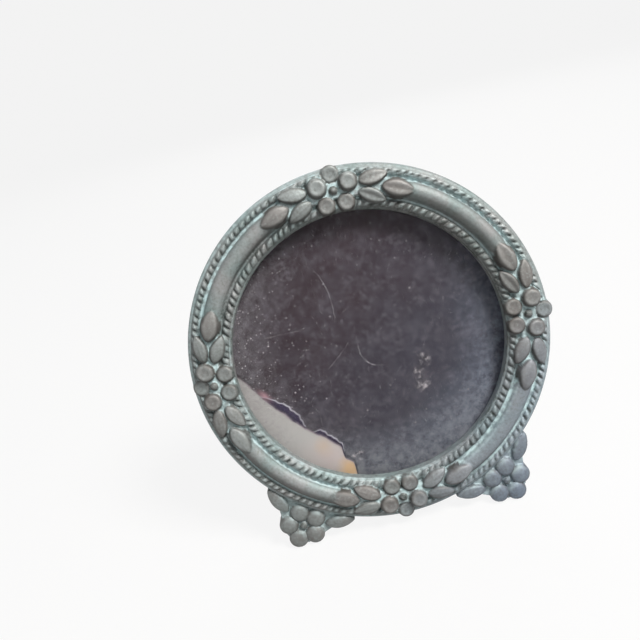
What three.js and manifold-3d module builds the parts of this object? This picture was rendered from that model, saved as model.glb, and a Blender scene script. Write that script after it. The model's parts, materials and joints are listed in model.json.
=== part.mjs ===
// Small round desk picture frame: a cast pewter ring with flower sprays, rope borders and two flowered feet,
// glazed, backed by a flocked board that four turn buttons hold in, and propped by a hinged easel leg.
// Millimetres, +Z up, the picture faces -Y. Every piece is modelled upright about the ring's centre, with the
// back of the casting on y = 0 and its front at -y, and the whole then leans back onto its feet and leg.
import * as THREE from "three";
import { mergeVertices } from "three/addons/utils/BufferGeometryUtils.js";
import Module from "manifold-3d";

const wasm = await Module();
wasm.setup();
const degrees = THREE.MathUtils.degToRad;

// Stance
const lean = degrees(14); // how far the picture leans back
const legSpread = degrees(28); // easel leg from the back board, open against its stop

// Cast ring: radial widths, from the window outwards
const windowRadius = 34.5;
const lipWidth = 0.4; // smooth edge round the window
const innerRopeWidth = 2.2;
const valleyWidth = 0.6; // plain ground on each side of the moulding
const mouldingWidth = 4.6; // half-round moulding
const outerRopeWidth = 1.5;
const rimWidth = 1.3; // smooth band outside the outer rope
const rimDraft = 0.5; // the outside wall tapers in this much towards the back

// Cast ring: heights above its back plane
const castingDepth = 9.0; // crest of the moulding
const mouldingRise = 2.0; // crest above the valleys
const ropeRise = 0.8;
const rimHeight = 5.3; // where the ring is widest
const coreWidth = 3.8; // channel cored out of the back
const coreDepth = 2.0;
const coreTaper = 0.3;

// Rope borders: ridges with slanted notches across them
const ropePitch = 1.9;
const ropeTwist = 0.45; // share of a strand by which a notch runs on across the ridge
const ropeShoulder = 0.45; // sloping side of the ridge
const notchDepth = 0.65;

// Flower sprays on the ring: five petals round a bead, three leaves to each side
const sprayCount = 4;
const groundDrop = 0.9; // the moulding is flattened this far below its crest under a spray,
const groundRun = 13.0; // and this far either side of the bead
const petalCount = 5;
const petalRing = 4.05; // bead to petal centre
const petalRadius = 2.2;
const petalRise = 1.4; // dome
const petalSkirt = 1.6; // straight side under the dome
const outerPetalDrop = 2.1; // petal shoulders below the crest: the one over the rim,
const sidePetalDrop = 0.3; // the two beside the bead
const innerPetalDrop = 1.2; // and the two towards the window
const beadRadius = 1.0;
const beadDrop = 0.8; // bead centre below the crest
const nearLeafLength = 7.2;
const nearLeafWidth = 3.7;
const nearLeafRise = 1.3;
const nearLeafRun = 9.4; // bead to leaf centre, along the moulding
const nearLeafSplit = 2.2; // the near pair sits this far either side of the crest
const nearLeafDrop = 0.9; // leaf centre below the crest
const nearLeafTilt = degrees(17); // tip turned away from the moulding
const nearLeafRoll = degrees(12); // leaf laid over the side of the moulding
const farLeafLength = 8.3;
const farLeafWidth = 4.4;
const farLeafRise = 1.5;
const farLeafRun = 15.6;
const farLeafDrop = 0.4;

// Feet: one flower and two leaves each, on a plate that grows out of the ring
const footAngle = degrees(32.5); // from straight down
const footReach = 5.15; // rim of the ring to the foot's bead
const footBack = 2.4; // back of the plate above the back plane
const footPlate = 3.4; // plate thickness
const footPetalRing = 3.9;
const footPetalRadius = 2.15;
const footPetalRise = 1.5;
const footPetalShoulder = 0.3; // where the domes start, above the plate
const footBeadRise = 0.3; // bead centre above the plate
const footLeafLength = 8.0;
const footLeafWidth = 3.8;
const footLeafRun = 8.7; // foot bead to leaf centre, across the foot
const footLeafSet = 4.35; // and towards the ring
const footLeafTilt = degrees(29.6); // tip turned towards the ring
const footFlat = 0.6; // ground off the petals that stand on the table

// Outline of every leaf: fullest a little nearer its stem, with rounded shoulders
const leafTaper = 0.85;
const leafFullness = 0.8;

// What lies in the rebate, from the window backwards
const rebateLap = 3.1; // glass held behind the lip
const rebateClearance = 0.3; // round the discs
const seatGap = 0.2; // between pieces that lie on one another
const glassThickness = 1.2;
const printThickness = 0.2;
const cardThickness = 0.5;
const boardThickness = 1.5;

// The print is torn away at the lower left: angle from +X, and how far in from its edge
const tearEdge = [
  { angle: degrees(176), inset: 0 },
  { angle: degrees(193.6), inset: 8.2 },
  { angle: degrees(214.5), inset: 12.1 },
  { angle: degrees(245), inset: 9.8 },
  { angle: degrees(254), inset: 0 },
];

// Turn buttons and their screws
const buttonCount = 4;
const buttonSheet = 0.8;
const buttonHeel = 2.8; // radius round the screw
const buttonToe = 1.9; // radius of the tip
const buttonReach = 7.6; // screw to the centre of the tip
const screwRadius = 0.9;
const screwLength = 5.0; // in the casting
const screwHeadRadius = 1.7;
const screwHeadHeight = 0.9;
const screwSlotWidth = 0.5;
const screwSlotDepth = 0.45;
const screwClearance = 0.2;
const bossWall = 1.4; // casting round each screw

// Easel hinge: two knuckles on the board's plate, one on the leg's leaf
const hingeHeight = 12.0; // pin above the ring's centre
const hingeSheet = 0.5;
const pinRadius = 0.7;
const pinClearance = 0.25;
const pinHeadRadius = 1.15;
const pinHeadLength = 0.6;
const plateWidth = 15.0;
const plateLength = 11.0; // pin to the top of the plate
const knuckleGap = 0.3;
const leafKnuckle = 6.0; // length of the middle knuckle
const hingeLeafWidth = 11.0;
const hingeLeafLength = 11.0; // pin to the foot of the leaf
const stopGap = 0.3; // the leaf's stop to the plate, leg open
const rivetRadius = 0.7;
const rivetHeadRadius = 1.3;
const rivetHeadHeight = 0.5;
const rivetClearance = 0.2;
const rivetSpacing = 7.2;
const rivetDrop = 7.0; // pin to the rivets

// Easel leg
const legThickness = 1.8;
const legTopWidth = 14.0;
const legFootWidth = 25.0;
const legTopGap = 0.4; // leg to the hinge's barrel

// Facets
const ringSegments = 60;
const mouldingSteps = 6;
const domeSegments = 8;
const domeSteps = 2;
const leafSegments = 6;
const leafSteps = 5;
const holeSegments = 12;
const tearSteps = 4;
const weldTolerance = 1e-4;
const cutterReach = 3; // a cutter is this many times as large as what it cuts

const finishes = {
  pewter: new THREE.MeshStandardMaterial({ color: 0x77807b, roughness: 0.48, metalness: 0.85 }),
  glass: new THREE.MeshStandardMaterial({
    color: 0xdfe6e6, roughness: 0.06, transparent: true, opacity: 0.25,
  }),
  print: new THREE.MeshStandardMaterial({ color: 0x4b454d, roughness: 0.55 }),
  card: new THREE.MeshStandardMaterial({ color: 0xb9b1ac, roughness: 0.85 }),
  flock: new THREE.MeshStandardMaterial({ color: 0x1d1c20, roughness: 0.95 }),
  steel: new THREE.MeshStandardMaterial({ color: 0xa9a9a6, roughness: 0.35, metalness: 0.9 }),
};

// Solids

function solidOf(geometry, matrix = new THREE.Matrix4()) {
  const bare = geometry.clone().applyMatrix4(matrix);
  bare.deleteAttribute("normal");
  bare.deleteAttribute("uv");
  const welded = mergeVertices(bare, weldTolerance);
  const corners = welded.index.array;
  const triVerts = [];
  for (let i = 0; i < corners.length; i += 3) {
    const [a, b, c] = corners.subarray(i, i + 3);
    if (a !== b && b !== c && c !== a) triVerts.push(a, b, c);
  }
  return new wasm.Manifold(new wasm.Mesh({
    numProp: 3,
    vertProperties: new Float32Array(welded.attributes.position.array),
    triVerts: new Uint32Array(triVerts),
  }));
}

function meshOf(name, solid, material) {
  const { vertProperties, triVerts } = solid.getMesh();
  const geometry = new THREE.BufferGeometry();
  geometry.setAttribute("position", new THREE.BufferAttribute(vertProperties, 3));
  geometry.setIndex(new THREE.BufferAttribute(triVerts, 1));
  geometry.computeVertexNormals();
  const mesh = new THREE.Mesh(geometry, material);
  mesh.name = name;
  return mesh;
}

const joined = (solids) => wasm.Manifold.union(solids);
const moved = (x, y, z) => new THREE.Matrix4().makeTranslation(x, y, z);
const turned = (x, y, z) => new THREE.Matrix4().makeRotationFromEuler(new THREE.Euler(x, y, z));

// A point of the ring at a clock angle: X runs clockwise along the ring, Z outwards
const aroundRing = (clock) => turned(0, clock, 0);

// A shape drawn in X and Z, `depth` thick, with its back on y = back
function slab(shape, depth, back, curveSegments) {
  const plate = new THREE.ExtrudeGeometry(shape, { depth, bevelEnabled: false, curveSegments });
  return plate.rotateX(Math.PI / 2).translate(0, back, 0);
}

// A shape drawn in Y and Z, extruded along X about x = middle
function bar(shape, length, middle, curveSegments) {
  const prism = new THREE.ExtrudeGeometry(shape, { depth: length, bevelEnabled: false, curveSegments });
  const alongX = new THREE.Matrix4().makeBasis(
    new THREE.Vector3(0, 1, 0), new THREE.Vector3(0, 0, 1), new THREE.Vector3(1, 0, 0),
  );
  return prism.applyMatrix4(alongX).translate(middle - length / 2, 0, 0);
}

function disc(radius, thickness, back, segments) {
  const drum = new THREE.CylinderGeometry(radius, radius, thickness, segments);
  return drum.translate(0, back - thickness / 2, 0);
}

const rectangle = (x0, y0, x1, y1) => new THREE.Shape([
  new THREE.Vector2(x0, y0), new THREE.Vector2(x1, y0), new THREE.Vector2(x1, y1), new THREE.Vector2(x0, y1),
]);

// Radii and heights of the ring that follow from the widths above
const innerRopeStart = windowRadius + lipWidth;
const innerRopeEnd = innerRopeStart + innerRopeWidth;
const mouldingStart = innerRopeEnd + valleyWidth;
const crestRadius = mouldingStart + mouldingWidth / 2;
const mouldingEnd = mouldingStart + mouldingWidth;
const outerRopeStart = mouldingEnd + valleyWidth;
const outerRopeEnd = outerRopeStart + outerRopeWidth;
const rimRadius = outerRopeEnd + rimWidth;
const footRadius = rimRadius + footReach;
const valleyHeight = castingDepth - mouldingRise;
const rebateRadius = windowRadius + rebateLap;
const rebateStack = [glassThickness, printThickness, cardThickness, boardThickness];
const rebateDepth = rebateStack.reduce((depth, thickness) => depth + seatGap + thickness, 0);
const backRimRadius = rimRadius - rimDraft;
const coreRadius = (rebateRadius + backRimRadius) / 2;

// Whether a spray covers the ring at this share of a turn
function underSpray(share) {
  const pastSpray = Math.abs(share * sprayCount - Math.round(share * sprayCount)) / sprayCount;
  return 2 * Math.PI * crestRadius * pastSpray < groundRun;
}

// The ring's section as loops round its axis, from the window's edge outwards and back under the ring
function ringLoops() {
  const plain = (radius, height) => ({ radius, count: ringSegments, turn: 0, heightAt: () => height });
  const ropeTop = valleyHeight + ropeRise;

  // a rope is a ridge whose two shoulders rise and dip in step, one turned a little past the other
  const rope = (start, width) => {
    const strands = Math.round((2 * Math.PI * (start + width / 2)) / ropePitch);
    const heightAt = (i) => (i % 2 === 0 ? ropeTop : ropeTop - notchDepth);
    const shoulder = (radius, turn) => ({ radius, count: 2 * strands, turn, heightAt });
    return [
      plain(start, valleyHeight),
      shoulder(start + ropeShoulder, 0),
      shoulder(start + width - ropeShoulder, ropeTwist / strands),
      plain(start + width, valleyHeight),
    ];
  };
  const moulding = Array.from({ length: mouldingSteps + 1 }, (_, i) => {
    const sweep = Math.PI * (1 - i / mouldingSteps);
    const height = valleyHeight + mouldingRise * Math.sin(sweep);
    return {
      ...plain(crestRadius + (mouldingWidth / 2) * Math.cos(sweep), height),
      heightAt: (k) => (underSpray(k / ringSegments) ? Math.min(height, castingDepth - groundDrop) : height),
    };
  });
  const bulge = Math.SQRT1_2; // the band outside the rope rounds over as a quarter ellipse
  return [
    plain(windowRadius, valleyHeight),
    ...rope(innerRopeStart, innerRopeWidth),
    ...moulding,
    ...rope(outerRopeStart, outerRopeWidth),
    plain(outerRopeEnd + rimWidth * bulge, rimHeight + (valleyHeight - rimHeight) * bulge),
    plain(rimRadius, rimHeight),
    plain(backRimRadius, 0),
    plain(coreRadius + coreWidth / 2, 0),
    plain(coreRadius + coreWidth / 2 - coreTaper, coreDepth),
    plain(coreRadius - coreWidth / 2 + coreTaper, coreDepth),
    plain(coreRadius - coreWidth / 2, 0),
    plain(rebateRadius, 0),
    plain(rebateRadius, rebateDepth),
    plain(windowRadius, rebateDepth),
  ];
}

// A skin over such loops, closed from the last to the first; neighbours are stitched in order of angle
function ringSkin(loops) {
  const positions = [];
  const starts = [];
  for (const { radius, count, turn, heightAt } of loops) {
    starts.push(positions.length / 3);
    for (let i = 0; i < count; i += 1) {
      const clock = 2 * Math.PI * (i / count + turn);
      positions.push(radius * Math.sin(clock), -heightAt(i), radius * Math.cos(clock));
    }
  }
  const triangles = [];
  loops.forEach((loop, k) => {
    const next = (k + 1) % loops.length;
    const a = (i) => starts[k] + (i % loop.count);
    const b = (i) => starts[next] + (i % loops[next].count);
    let [i, j] = [0, 0];
    while (i < loop.count || j < loops[next].count) {
      const ahead = (i + 1) / loop.count + loop.turn - (j + 1) / loops[next].count - loops[next].turn;
      if (j === loops[next].count || (i < loop.count && ahead <= 0)) {
        triangles.push(a(i), a(i + 1), b(j));
        i += 1;
      } else {
        triangles.push(b(j + 1), b(j), a(i));
        j += 1;
      }
    }
  });
  const skin = new THREE.BufferGeometry();
  skin.setAttribute("position", new THREE.Float32BufferAttribute(positions, 3));
  skin.setIndex(triangles);
  return skin;
}

// A domed petal on a straight skirt, standing forward of y = 0
function petal(radius, rise, shoulder, foot) {
  const dome = Array.from({ length: domeSteps + 1 }, (_, i) => {
    const sweep = ((Math.PI / 2) * i) / domeSteps;
    return new THREE.Vector2(radius * Math.sin(sweep), -shoulder - rise * Math.cos(sweep));
  });
  const profile = [...dome, new THREE.Vector2(radius, -foot), new THREE.Vector2(0, -foot)];
  return new THREE.LatheGeometry(profile, domeSegments);
}

// Petals round a bead, the first pointing outwards; `shoulderAt` counts from that one round to the inner pair
function flower(ring, radius, rise, skirt, shoulderAt, beadCentre) {
  const bead = new THREE.SphereGeometry(beadRadius, leafSegments, domeSteps + 1).translate(0, -beadCentre, 0);
  const petals = Array.from({ length: petalCount }, (_, i) => {
    const shoulder = shoulderAt(Math.min(i, petalCount - i));
    return petal(radius, rise, shoulder, shoulder - skirt)
      .applyMatrix4(aroundRing((2 * Math.PI * i) / petalCount).multiply(moved(0, 0, ring)));
  });
  return [bead, ...petals];
}

// Half the width of a leaf along its length, from the stem (0) to the tip (1)
function leafHalfWidth(share, width) {
  return (width / 2) * Math.sin(Math.PI * share ** leafTaper) ** leafFullness;
}

// A leaf revolved as a spindle along X, tip towards +X, then flattened
function leaf(length, width, rise) {
  const profile = Array.from({ length: leafSteps + 1 }, (_, i) => {
    const share = i / leafSteps;
    const onAxis = i === 0 || i === leafSteps;
    return new THREE.Vector2(onAxis ? 0 : leafHalfWidth(share, width), length * (share - 0.5));
  });
  return new THREE.LatheGeometry(profile, leafSegments)
    .rotateZ(-Math.PI / 2)
    .scale(1, (2 * rise) / width, 1);
}

// One spray, centred on the moulding at twelve o'clock
function spray() {
  const drops = [outerPetalDrop, sidePetalDrop, innerPetalDrop];
  const shoulderAt = (step) => castingDepth - drops[step];
  const pieces = flower(petalRing, petalRadius, petalRise, petalSkirt, shoulderAt, castingDepth - beadDrop)
    .map((piece) => piece.translate(0, 0, crestRadius));
  for (const side of [-1, 1]) {
    const facing = turned(0, side < 0 ? Math.PI : 0, 0);
    for (const over of [-1, 1]) {
      const spin = turned(0, -side * over * nearLeafTilt, 0);
      const roll = turned(-over * nearLeafRoll, 0, 0);
      const spot = moved(0, nearLeafDrop - castingDepth, crestRadius + over * nearLeafSplit);
      const matrix = aroundRing((side * nearLeafRun) / crestRadius)
        .multiply(spot).multiply(roll).multiply(spin).multiply(facing);
      pieces.push(leaf(nearLeafLength, nearLeafWidth, nearLeafRise).applyMatrix4(matrix));
    }
    const tip = aroundRing((side * farLeafRun) / crestRadius)
      .multiply(moved(0, farLeafDrop - castingDepth, crestRadius)).multiply(facing);
    pieces.push(leaf(farLeafLength, farLeafWidth, farLeafRise).applyMatrix4(tip));
  }
  return pieces;
}

// One foot, with its bead at the origin and Z pointing away from the ring
function foot() {
  const plateFront = footBack + footPlate;
  const skirt = footPlate + footPetalShoulder;
  const pieces = flower(
    footPetalRing, footPetalRadius, footPetalRise, skirt, () => footBack + skirt, plateFront + footBeadRise,
  );
  const petalAt = (i) => {
    const around = (2 * Math.PI * i) / petalCount;
    return new THREE.Vector2(footPetalRing * Math.sin(around), footPetalRing * Math.cos(around));
  };
  const leafTip = new THREE.Vector2(
    footLeafRun + (footLeafLength / 2) * Math.cos(footLeafTilt),
    -footLeafSet - (footLeafLength / 2) * Math.sin(footLeafTilt),
  );
  const rootDepth = footRadius - outerRopeStart; // the plate's root, buried in the ring

  // the web behind them runs through the leaf tips, the leaves and the petal centres
  const web = new THREE.Shape([
    new THREE.Vector2(-leafTip.x, leafTip.y),
    new THREE.Vector2(-footLeafRun, -rootDepth),
    new THREE.Vector2(footLeafRun, -rootDepth),
    leafTip,
    new THREE.Vector2(footLeafRun, -footLeafSet),
    petalAt(1),
    petalAt(0),
    petalAt(petalCount - 1),
    new THREE.Vector2(-footLeafRun, -footLeafSet),
  ]);
  pieces.push(slab(web, footPlate, -footBack));

  // each leaf stands on a pad of its own outline
  const leafSide = Array.from({ length: leafSteps + 1 }, (_, i) => new THREE.Vector2(
    footLeafLength * (i / leafSteps - 0.5),
    i === 0 || i === leafSteps ? 0 : leafHalfWidth(i / leafSteps, footLeafWidth),
  ));
  const otherSide = leafSide.slice(1, -1).reverse().map((point) => new THREE.Vector2(point.x, -point.y));
  const pad = new THREE.Shape([...leafSide, ...otherSide]);
  for (const side of [-1, 1]) {
    const matrix = moved(side * footLeafRun, 0, -footLeafSet)
      .multiply(turned(0, side * footLeafTilt, 0))
      .multiply(turned(0, side < 0 ? Math.PI : 0, 0));
    pieces.push(slab(pad, footPlate, -footBack).applyMatrix4(matrix));
    pieces.push(
      leaf(footLeafLength, footLeafWidth, footPetalRise).translate(0, -plateFront, 0).applyMatrix4(matrix),
    );
  }
  return pieces;
}

// The floor lies where the feet, leaned back, have lost `footFlat` of their lowest petals
const footBottom = (footRadius + footPetalRing) * Math.cos(footAngle) + footPetalRadius;
const floorHeight = footBack * Math.sin(lean) - footBottom * Math.cos(lean) + footFlat;

function castFrame() {
  const raised = [solidOf(ringSkin(ringLoops()))];
  for (let i = 0; i < sprayCount; i += 1) {
    const matrix = aroundRing((2 * Math.PI * i) / sprayCount);
    raised.push(...spray().map((piece) => solidOf(piece, matrix)));
  }
  for (const side of [-1, 1]) {
    const matrix = aroundRing(Math.PI + side * footAngle).multiply(moved(0, 0, footRadius));
    raised.push(...foot().map((piece) => solidOf(piece, matrix)));
  }
  const bossRadius = screwRadius + screwClearance + bossWall;
  const bosses = [];
  const pilots = [];
  for (let i = 0; i < buttonCount; i += 1) {
    const matrix = buttonMatrix(i);
    bosses.push(solidOf(disc(bossRadius, coreDepth + seatGap, 0, holeSegments), matrix));
    const pilotDepth = screwLength + seatGap;
    pilots.push(solidOf(
      disc(screwRadius + screwClearance, 2 * pilotDepth, pilotDepth, holeSegments), matrix,
    ));
  }
  const tableSize = cutterReach * footRadius;
  const table = new THREE.BoxGeometry(tableSize, tableSize, tableSize)
    .translate(0, 0, floorHeight - tableSize / 2);
  return joined([...raised, ...bosses])
    .subtract(joined([...pilots, solidOf(table, turned(lean, 0, 0))]));
}

// The discs in the rebate, each lying behind the one before
const discRadius = rebateRadius - rebateClearance;
const glassBack = -(rebateDepth - seatGap - glassThickness);
const printBack = glassBack + seatGap + printThickness;
const cardBack = printBack + seatGap + cardThickness;

// The print is a disc with one side torn off along a wavering line
function picturePrint() {
  const points = tearEdge.map(({ angle, inset }) => new THREE.Vector2(
    (discRadius - inset) * Math.cos(angle), (discRadius - inset) * Math.sin(angle),
  ));
  const outside = points[Math.floor(points.length / 2)].clone().setLength(cutterReach * discRadius);
  const scrap = new THREE.Shape().moveTo(outside.x, outside.y);
  scrap.lineTo(points[0].x, points[0].y);
  scrap.splineThru(points.slice(1));
  const sheet = disc(discRadius, printThickness, printBack, ringSegments);
  const knife = slab(scrap, cutterReach * printThickness, printBack + printThickness, tearSteps);
  return solidOf(sheet).subtract(solidOf(knife));
}

// Sheet-metal turn button: a heel round the screw at the origin, its toe towards the ring's centre
function turnButton() {
  const lift = Math.asin((buttonHeel - buttonToe) / buttonReach);
  const outline = new THREE.Shape();
  outline.absarc(0, 0, buttonHeel, lift, Math.PI - lift, false);
  outline.absarc(0, -buttonReach, buttonToe, Math.PI - lift, 2 * Math.PI + lift, false);
  const hole = new THREE.Path().absarc(0, 0, screwRadius + screwClearance, 0, 2 * Math.PI, true);
  outline.holes.push(hole);
  return solidOf(slab(outline, buttonSheet, seatGap + buttonSheet, holeSegments / 2));
}

function screw() {
  const seat = 2 * seatGap + buttonSheet;
  const crown = screwHeadHeight / 2;
  const profile = [
    new THREE.Vector2(0, -screwLength),
    new THREE.Vector2(screwRadius, -screwLength),
    new THREE.Vector2(screwRadius, seat),
    new THREE.Vector2(screwHeadRadius, seat),
    new THREE.Vector2(screwHeadRadius, seat + crown),
    new THREE.Vector2(screwHeadRadius - crown, seat + screwHeadHeight),
    new THREE.Vector2(0, seat + screwHeadHeight),
  ];
  const slot = new THREE.BoxGeometry(cutterReach * screwHeadRadius, 2 * screwSlotDepth, screwSlotWidth)
    .translate(0, seat + screwHeadHeight, 0);
  return solidOf(new THREE.LatheGeometry(profile, holeSegments)).subtract(solidOf(slot));
}

// The buttons stand on the diagonals, over the cored channel
function buttonMatrix(i) {
  return aroundRing((2 * Math.PI * (i + 0.5)) / buttonCount).multiply(moved(0, 0, coreRadius));
}

// Easel hinge, about a pin along X at the origin; the plate and the leaf are drawn with the leg folded
const barrelRadius = pinRadius + pinClearance + hingeSheet;
const boreRadius = pinRadius + pinClearance;
const pinDepth = seatGap + barrelRadius; // pin behind the board
const plateTop = hingeSheet - barrelRadius; // face of the plate that the stop meets
const leafFace = barrelRadius - hingeSheet; // face of the leaf that lies on the leg

function rivetHole(x, z, back, front) {
  const length = back - front + 2 * seatGap;
  return solidOf(disc(rivetRadius + rivetClearance, length, back + seatGap, holeSegments), moved(x, 0, z));
}

const rivetPair = [-rivetSpacing / 2, rivetSpacing / 2];

function knuckle(length, middle) {
  const eye = new THREE.Shape().absarc(0, 0, barrelRadius, 0, 2 * Math.PI, false);
  eye.holes.push(new THREE.Path().absarc(0, 0, boreRadius, 0, 2 * Math.PI, true));
  return solidOf(bar(eye, length, middle, holeSegments / 2));
}

// The web that carries sheet metal from a knuckle to its plate, beside the bore
function knuckleWeb(face, reach, length, middle) {
  return solidOf(bar(rectangle(face, 0, face + hingeSheet, reach), length, middle));
}

function hingePlate() {
  const sideLength = (plateWidth - leafKnuckle) / 2 - knuckleGap;
  const sideMiddle = (plateWidth - sideLength) / 2;
  const start = barrelRadius + knuckleGap;
  const sheet = rectangle(-plateWidth / 2, start, plateWidth / 2, plateLength);
  const solids = [solidOf(slab(sheet, hingeSheet, plateTop))];
  for (const side of [-1, 1]) {
    solids.push(knuckle(sideLength, side * sideMiddle));
    solids.push(knuckleWeb(-barrelRadius, start + knuckleGap, sideLength, side * sideMiddle));
  }
  const holes = rivetPair.map((x) => rivetHole(x, rivetDrop, plateTop, -barrelRadius));
  return joined(solids).subtract(joined(holes));
}

function hingeLeaf() {
  const stop = (leafFace * Math.cos(legSpread) - plateTop - stopGap) / Math.sin(legSpread);
  const start = barrelRadius + knuckleGap;
  const sheet = rectangle(-hingeLeafWidth / 2, -hingeLeafLength, hingeLeafWidth / 2, -start);
  const solids = [
    solidOf(slab(sheet, hingeSheet, barrelRadius)),
    knuckle(leafKnuckle, 0),
    knuckleWeb(leafFace, -start - knuckleGap, leafKnuckle, 0),
    knuckleWeb(leafFace, stop, leafKnuckle, 0),
  ];
  const holes = rivetPair.map((x) => rivetHole(x, -rivetDrop, barrelRadius, leafFace));
  return joined(solids).subtract(joined(holes));
}

function hingePin() {
  const half = plateWidth / 2 + knuckleGap;
  const end = half + pinHeadLength;
  const profile = [
    new THREE.Vector2(0, -end),
    new THREE.Vector2(pinHeadRadius, -end),
    new THREE.Vector2(pinHeadRadius, -half),
    new THREE.Vector2(pinRadius, -half),
    new THREE.Vector2(pinRadius, half),
    new THREE.Vector2(pinHeadRadius, half),
    new THREE.Vector2(pinHeadRadius, end),
    new THREE.Vector2(0, end),
  ];
  return solidOf(new THREE.LatheGeometry(profile, holeSegments).rotateZ(Math.PI / 2));
}

// A domed rivet whose head lies on y = seat and whose shank ends at y = end
function rivet(seat, end) {
  const profile = [
    new THREE.Vector2(0, end),
    new THREE.Vector2(rivetRadius, end),
    new THREE.Vector2(rivetRadius, seat),
    new THREE.Vector2(rivetHeadRadius, seat),
    new THREE.Vector2(rivetHeadRadius * Math.SQRT1_2, seat + rivetHeadHeight * Math.SQRT1_2),
    new THREE.Vector2(0, seat + rivetHeadHeight),
  ];
  return solidOf(new THREE.LatheGeometry(profile, holeSegments));
}

function backBoard() {
  const holes = rivetPair.map((x) => rivetHole(x, hingeHeight + rivetDrop, 0, -boardThickness));
  return solidOf(disc(discRadius, boardThickness, 0, ringSegments)).subtract(joined(holes));
}

// The leg in the hinge's frame, folded: a tapered board whose end lies on the table when the leg is open
const legBack = leafFace - seatGap;
const legFront = legBack - legThickness;
const pinAboveFloor = hingeHeight * Math.cos(lean) - pinDepth * Math.sin(lean) - floorHeight;
const legSlope = legSpread - lean; // the open leg from upright

function easelLeg() {
  const top = -(barrelRadius + legTopGap);
  const endAt = (depth) => -(pinAboveFloor + depth * Math.sin(legSlope)) / Math.cos(legSlope);
  const lowest = Math.min(endAt(legBack), endAt(legFront));
  const outline = new THREE.Shape([
    new THREE.Vector2(-legTopWidth / 2, top),
    new THREE.Vector2(-legFootWidth / 2, lowest),
    new THREE.Vector2(legFootWidth / 2, lowest),
    new THREE.Vector2(legTopWidth / 2, top),
  ]);
  const side = new THREE.Shape([
    new THREE.Vector2(legFront, top),
    new THREE.Vector2(legFront, endAt(legFront)),
    new THREE.Vector2(legBack, endAt(legBack)),
    new THREE.Vector2(legBack, top),
  ]);
  const holes = rivetPair.map((x) => rivetHole(x, -rivetDrop, legBack, legFront));
  return solidOf(slab(outline, legThickness, legBack))
    .intersect(solidOf(bar(side, cutterReach * legFootWidth, 0)))
    .subtract(joined(holes));
}

// Assembly
const upright = new THREE.Group();
upright.add(
  meshOf("cast_frame", castFrame(), finishes.pewter),
  meshOf("glass_disc", solidOf(disc(discRadius, glassThickness, glassBack, ringSegments)), finishes.glass),
  meshOf("picture_print", picturePrint(), finishes.print),
  meshOf("backing_card", solidOf(disc(discRadius, cardThickness, cardBack, ringSegments)), finishes.card),
  meshOf("back_board", backBoard(), finishes.flock),
);

const corners = ["upper_right", "lower_right", "lower_left", "upper_left"];
corners.forEach((corner, i) => {
  const station = new THREE.Group();
  station.applyMatrix4(buttonMatrix(i));
  station.add(
    meshOf(`turn_button_${corner}`, turnButton(), finishes.steel),
    meshOf(`turn_screw_${corner}`, screw(), finishes.steel),
  );
  upright.add(station);
});

const hinge = new THREE.Group();
hinge.position.set(0, pinDepth, hingeHeight);
hinge.add(
  meshOf("hinge_plate", hingePlate(), finishes.steel),
  meshOf("hinge_pin", hingePin(), finishes.steel),
);
const leg = new THREE.Group();
leg.rotation.x = legSpread;
leg.add(
  meshOf("hinge_leaf", hingeLeaf(), finishes.steel),
  meshOf("easel_leg", easelLeg(), finishes.flock),
);
["left", "right"].forEach((side, i) => {
  const shankEnd = -pinDepth - boardThickness;
  const boardRivet = meshOf(`plate_rivet_${side}`, rivet(plateTop + seatGap, shankEnd), finishes.steel);
  boardRivet.position.set(rivetPair[i], 0, rivetDrop);
  hinge.add(boardRivet);
  const legRivet = meshOf(`leaf_rivet_${side}`, rivet(barrelRadius + seatGap, legFront), finishes.steel);
  legRivet.position.set(rivetPair[i], 0, -rivetDrop);
  leg.add(legRivet);
});
hinge.add(leg);
upright.add(hinge);

upright.rotation.x = -lean;
const frame = new THREE.Group();
frame.add(upright);
frame.updateMatrixWorld(true);

// Origin at the middle of the standing frame, on the table
const reach = new THREE.Box3().setFromObject(frame, true);
const middle = reach.getCenter(new THREE.Vector3());
upright.position.set(-middle.x, -middle.y, -reach.min.z);
frame.updateMatrixWorld(true);

export default frame;
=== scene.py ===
import functools
import json
import math

import bmesh
import bpy
import numpy as np
from mathutils import Matrix, Vector


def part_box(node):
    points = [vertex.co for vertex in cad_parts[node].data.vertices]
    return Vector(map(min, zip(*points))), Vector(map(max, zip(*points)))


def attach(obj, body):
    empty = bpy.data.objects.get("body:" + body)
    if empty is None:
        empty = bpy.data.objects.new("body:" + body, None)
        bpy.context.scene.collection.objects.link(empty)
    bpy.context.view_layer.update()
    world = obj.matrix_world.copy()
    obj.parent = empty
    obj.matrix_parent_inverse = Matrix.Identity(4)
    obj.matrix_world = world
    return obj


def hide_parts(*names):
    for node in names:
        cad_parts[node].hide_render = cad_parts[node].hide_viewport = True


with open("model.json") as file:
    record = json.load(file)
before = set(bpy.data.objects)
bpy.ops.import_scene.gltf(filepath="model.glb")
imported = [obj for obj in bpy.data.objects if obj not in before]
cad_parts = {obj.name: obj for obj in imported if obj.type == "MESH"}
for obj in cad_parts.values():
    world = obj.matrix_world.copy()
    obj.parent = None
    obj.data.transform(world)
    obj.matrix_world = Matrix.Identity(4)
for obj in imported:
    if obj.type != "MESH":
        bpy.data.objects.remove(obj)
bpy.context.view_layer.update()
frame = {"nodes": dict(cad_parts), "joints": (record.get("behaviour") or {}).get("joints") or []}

print("frame loaded:", len(frame["nodes"]), "solids")

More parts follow.
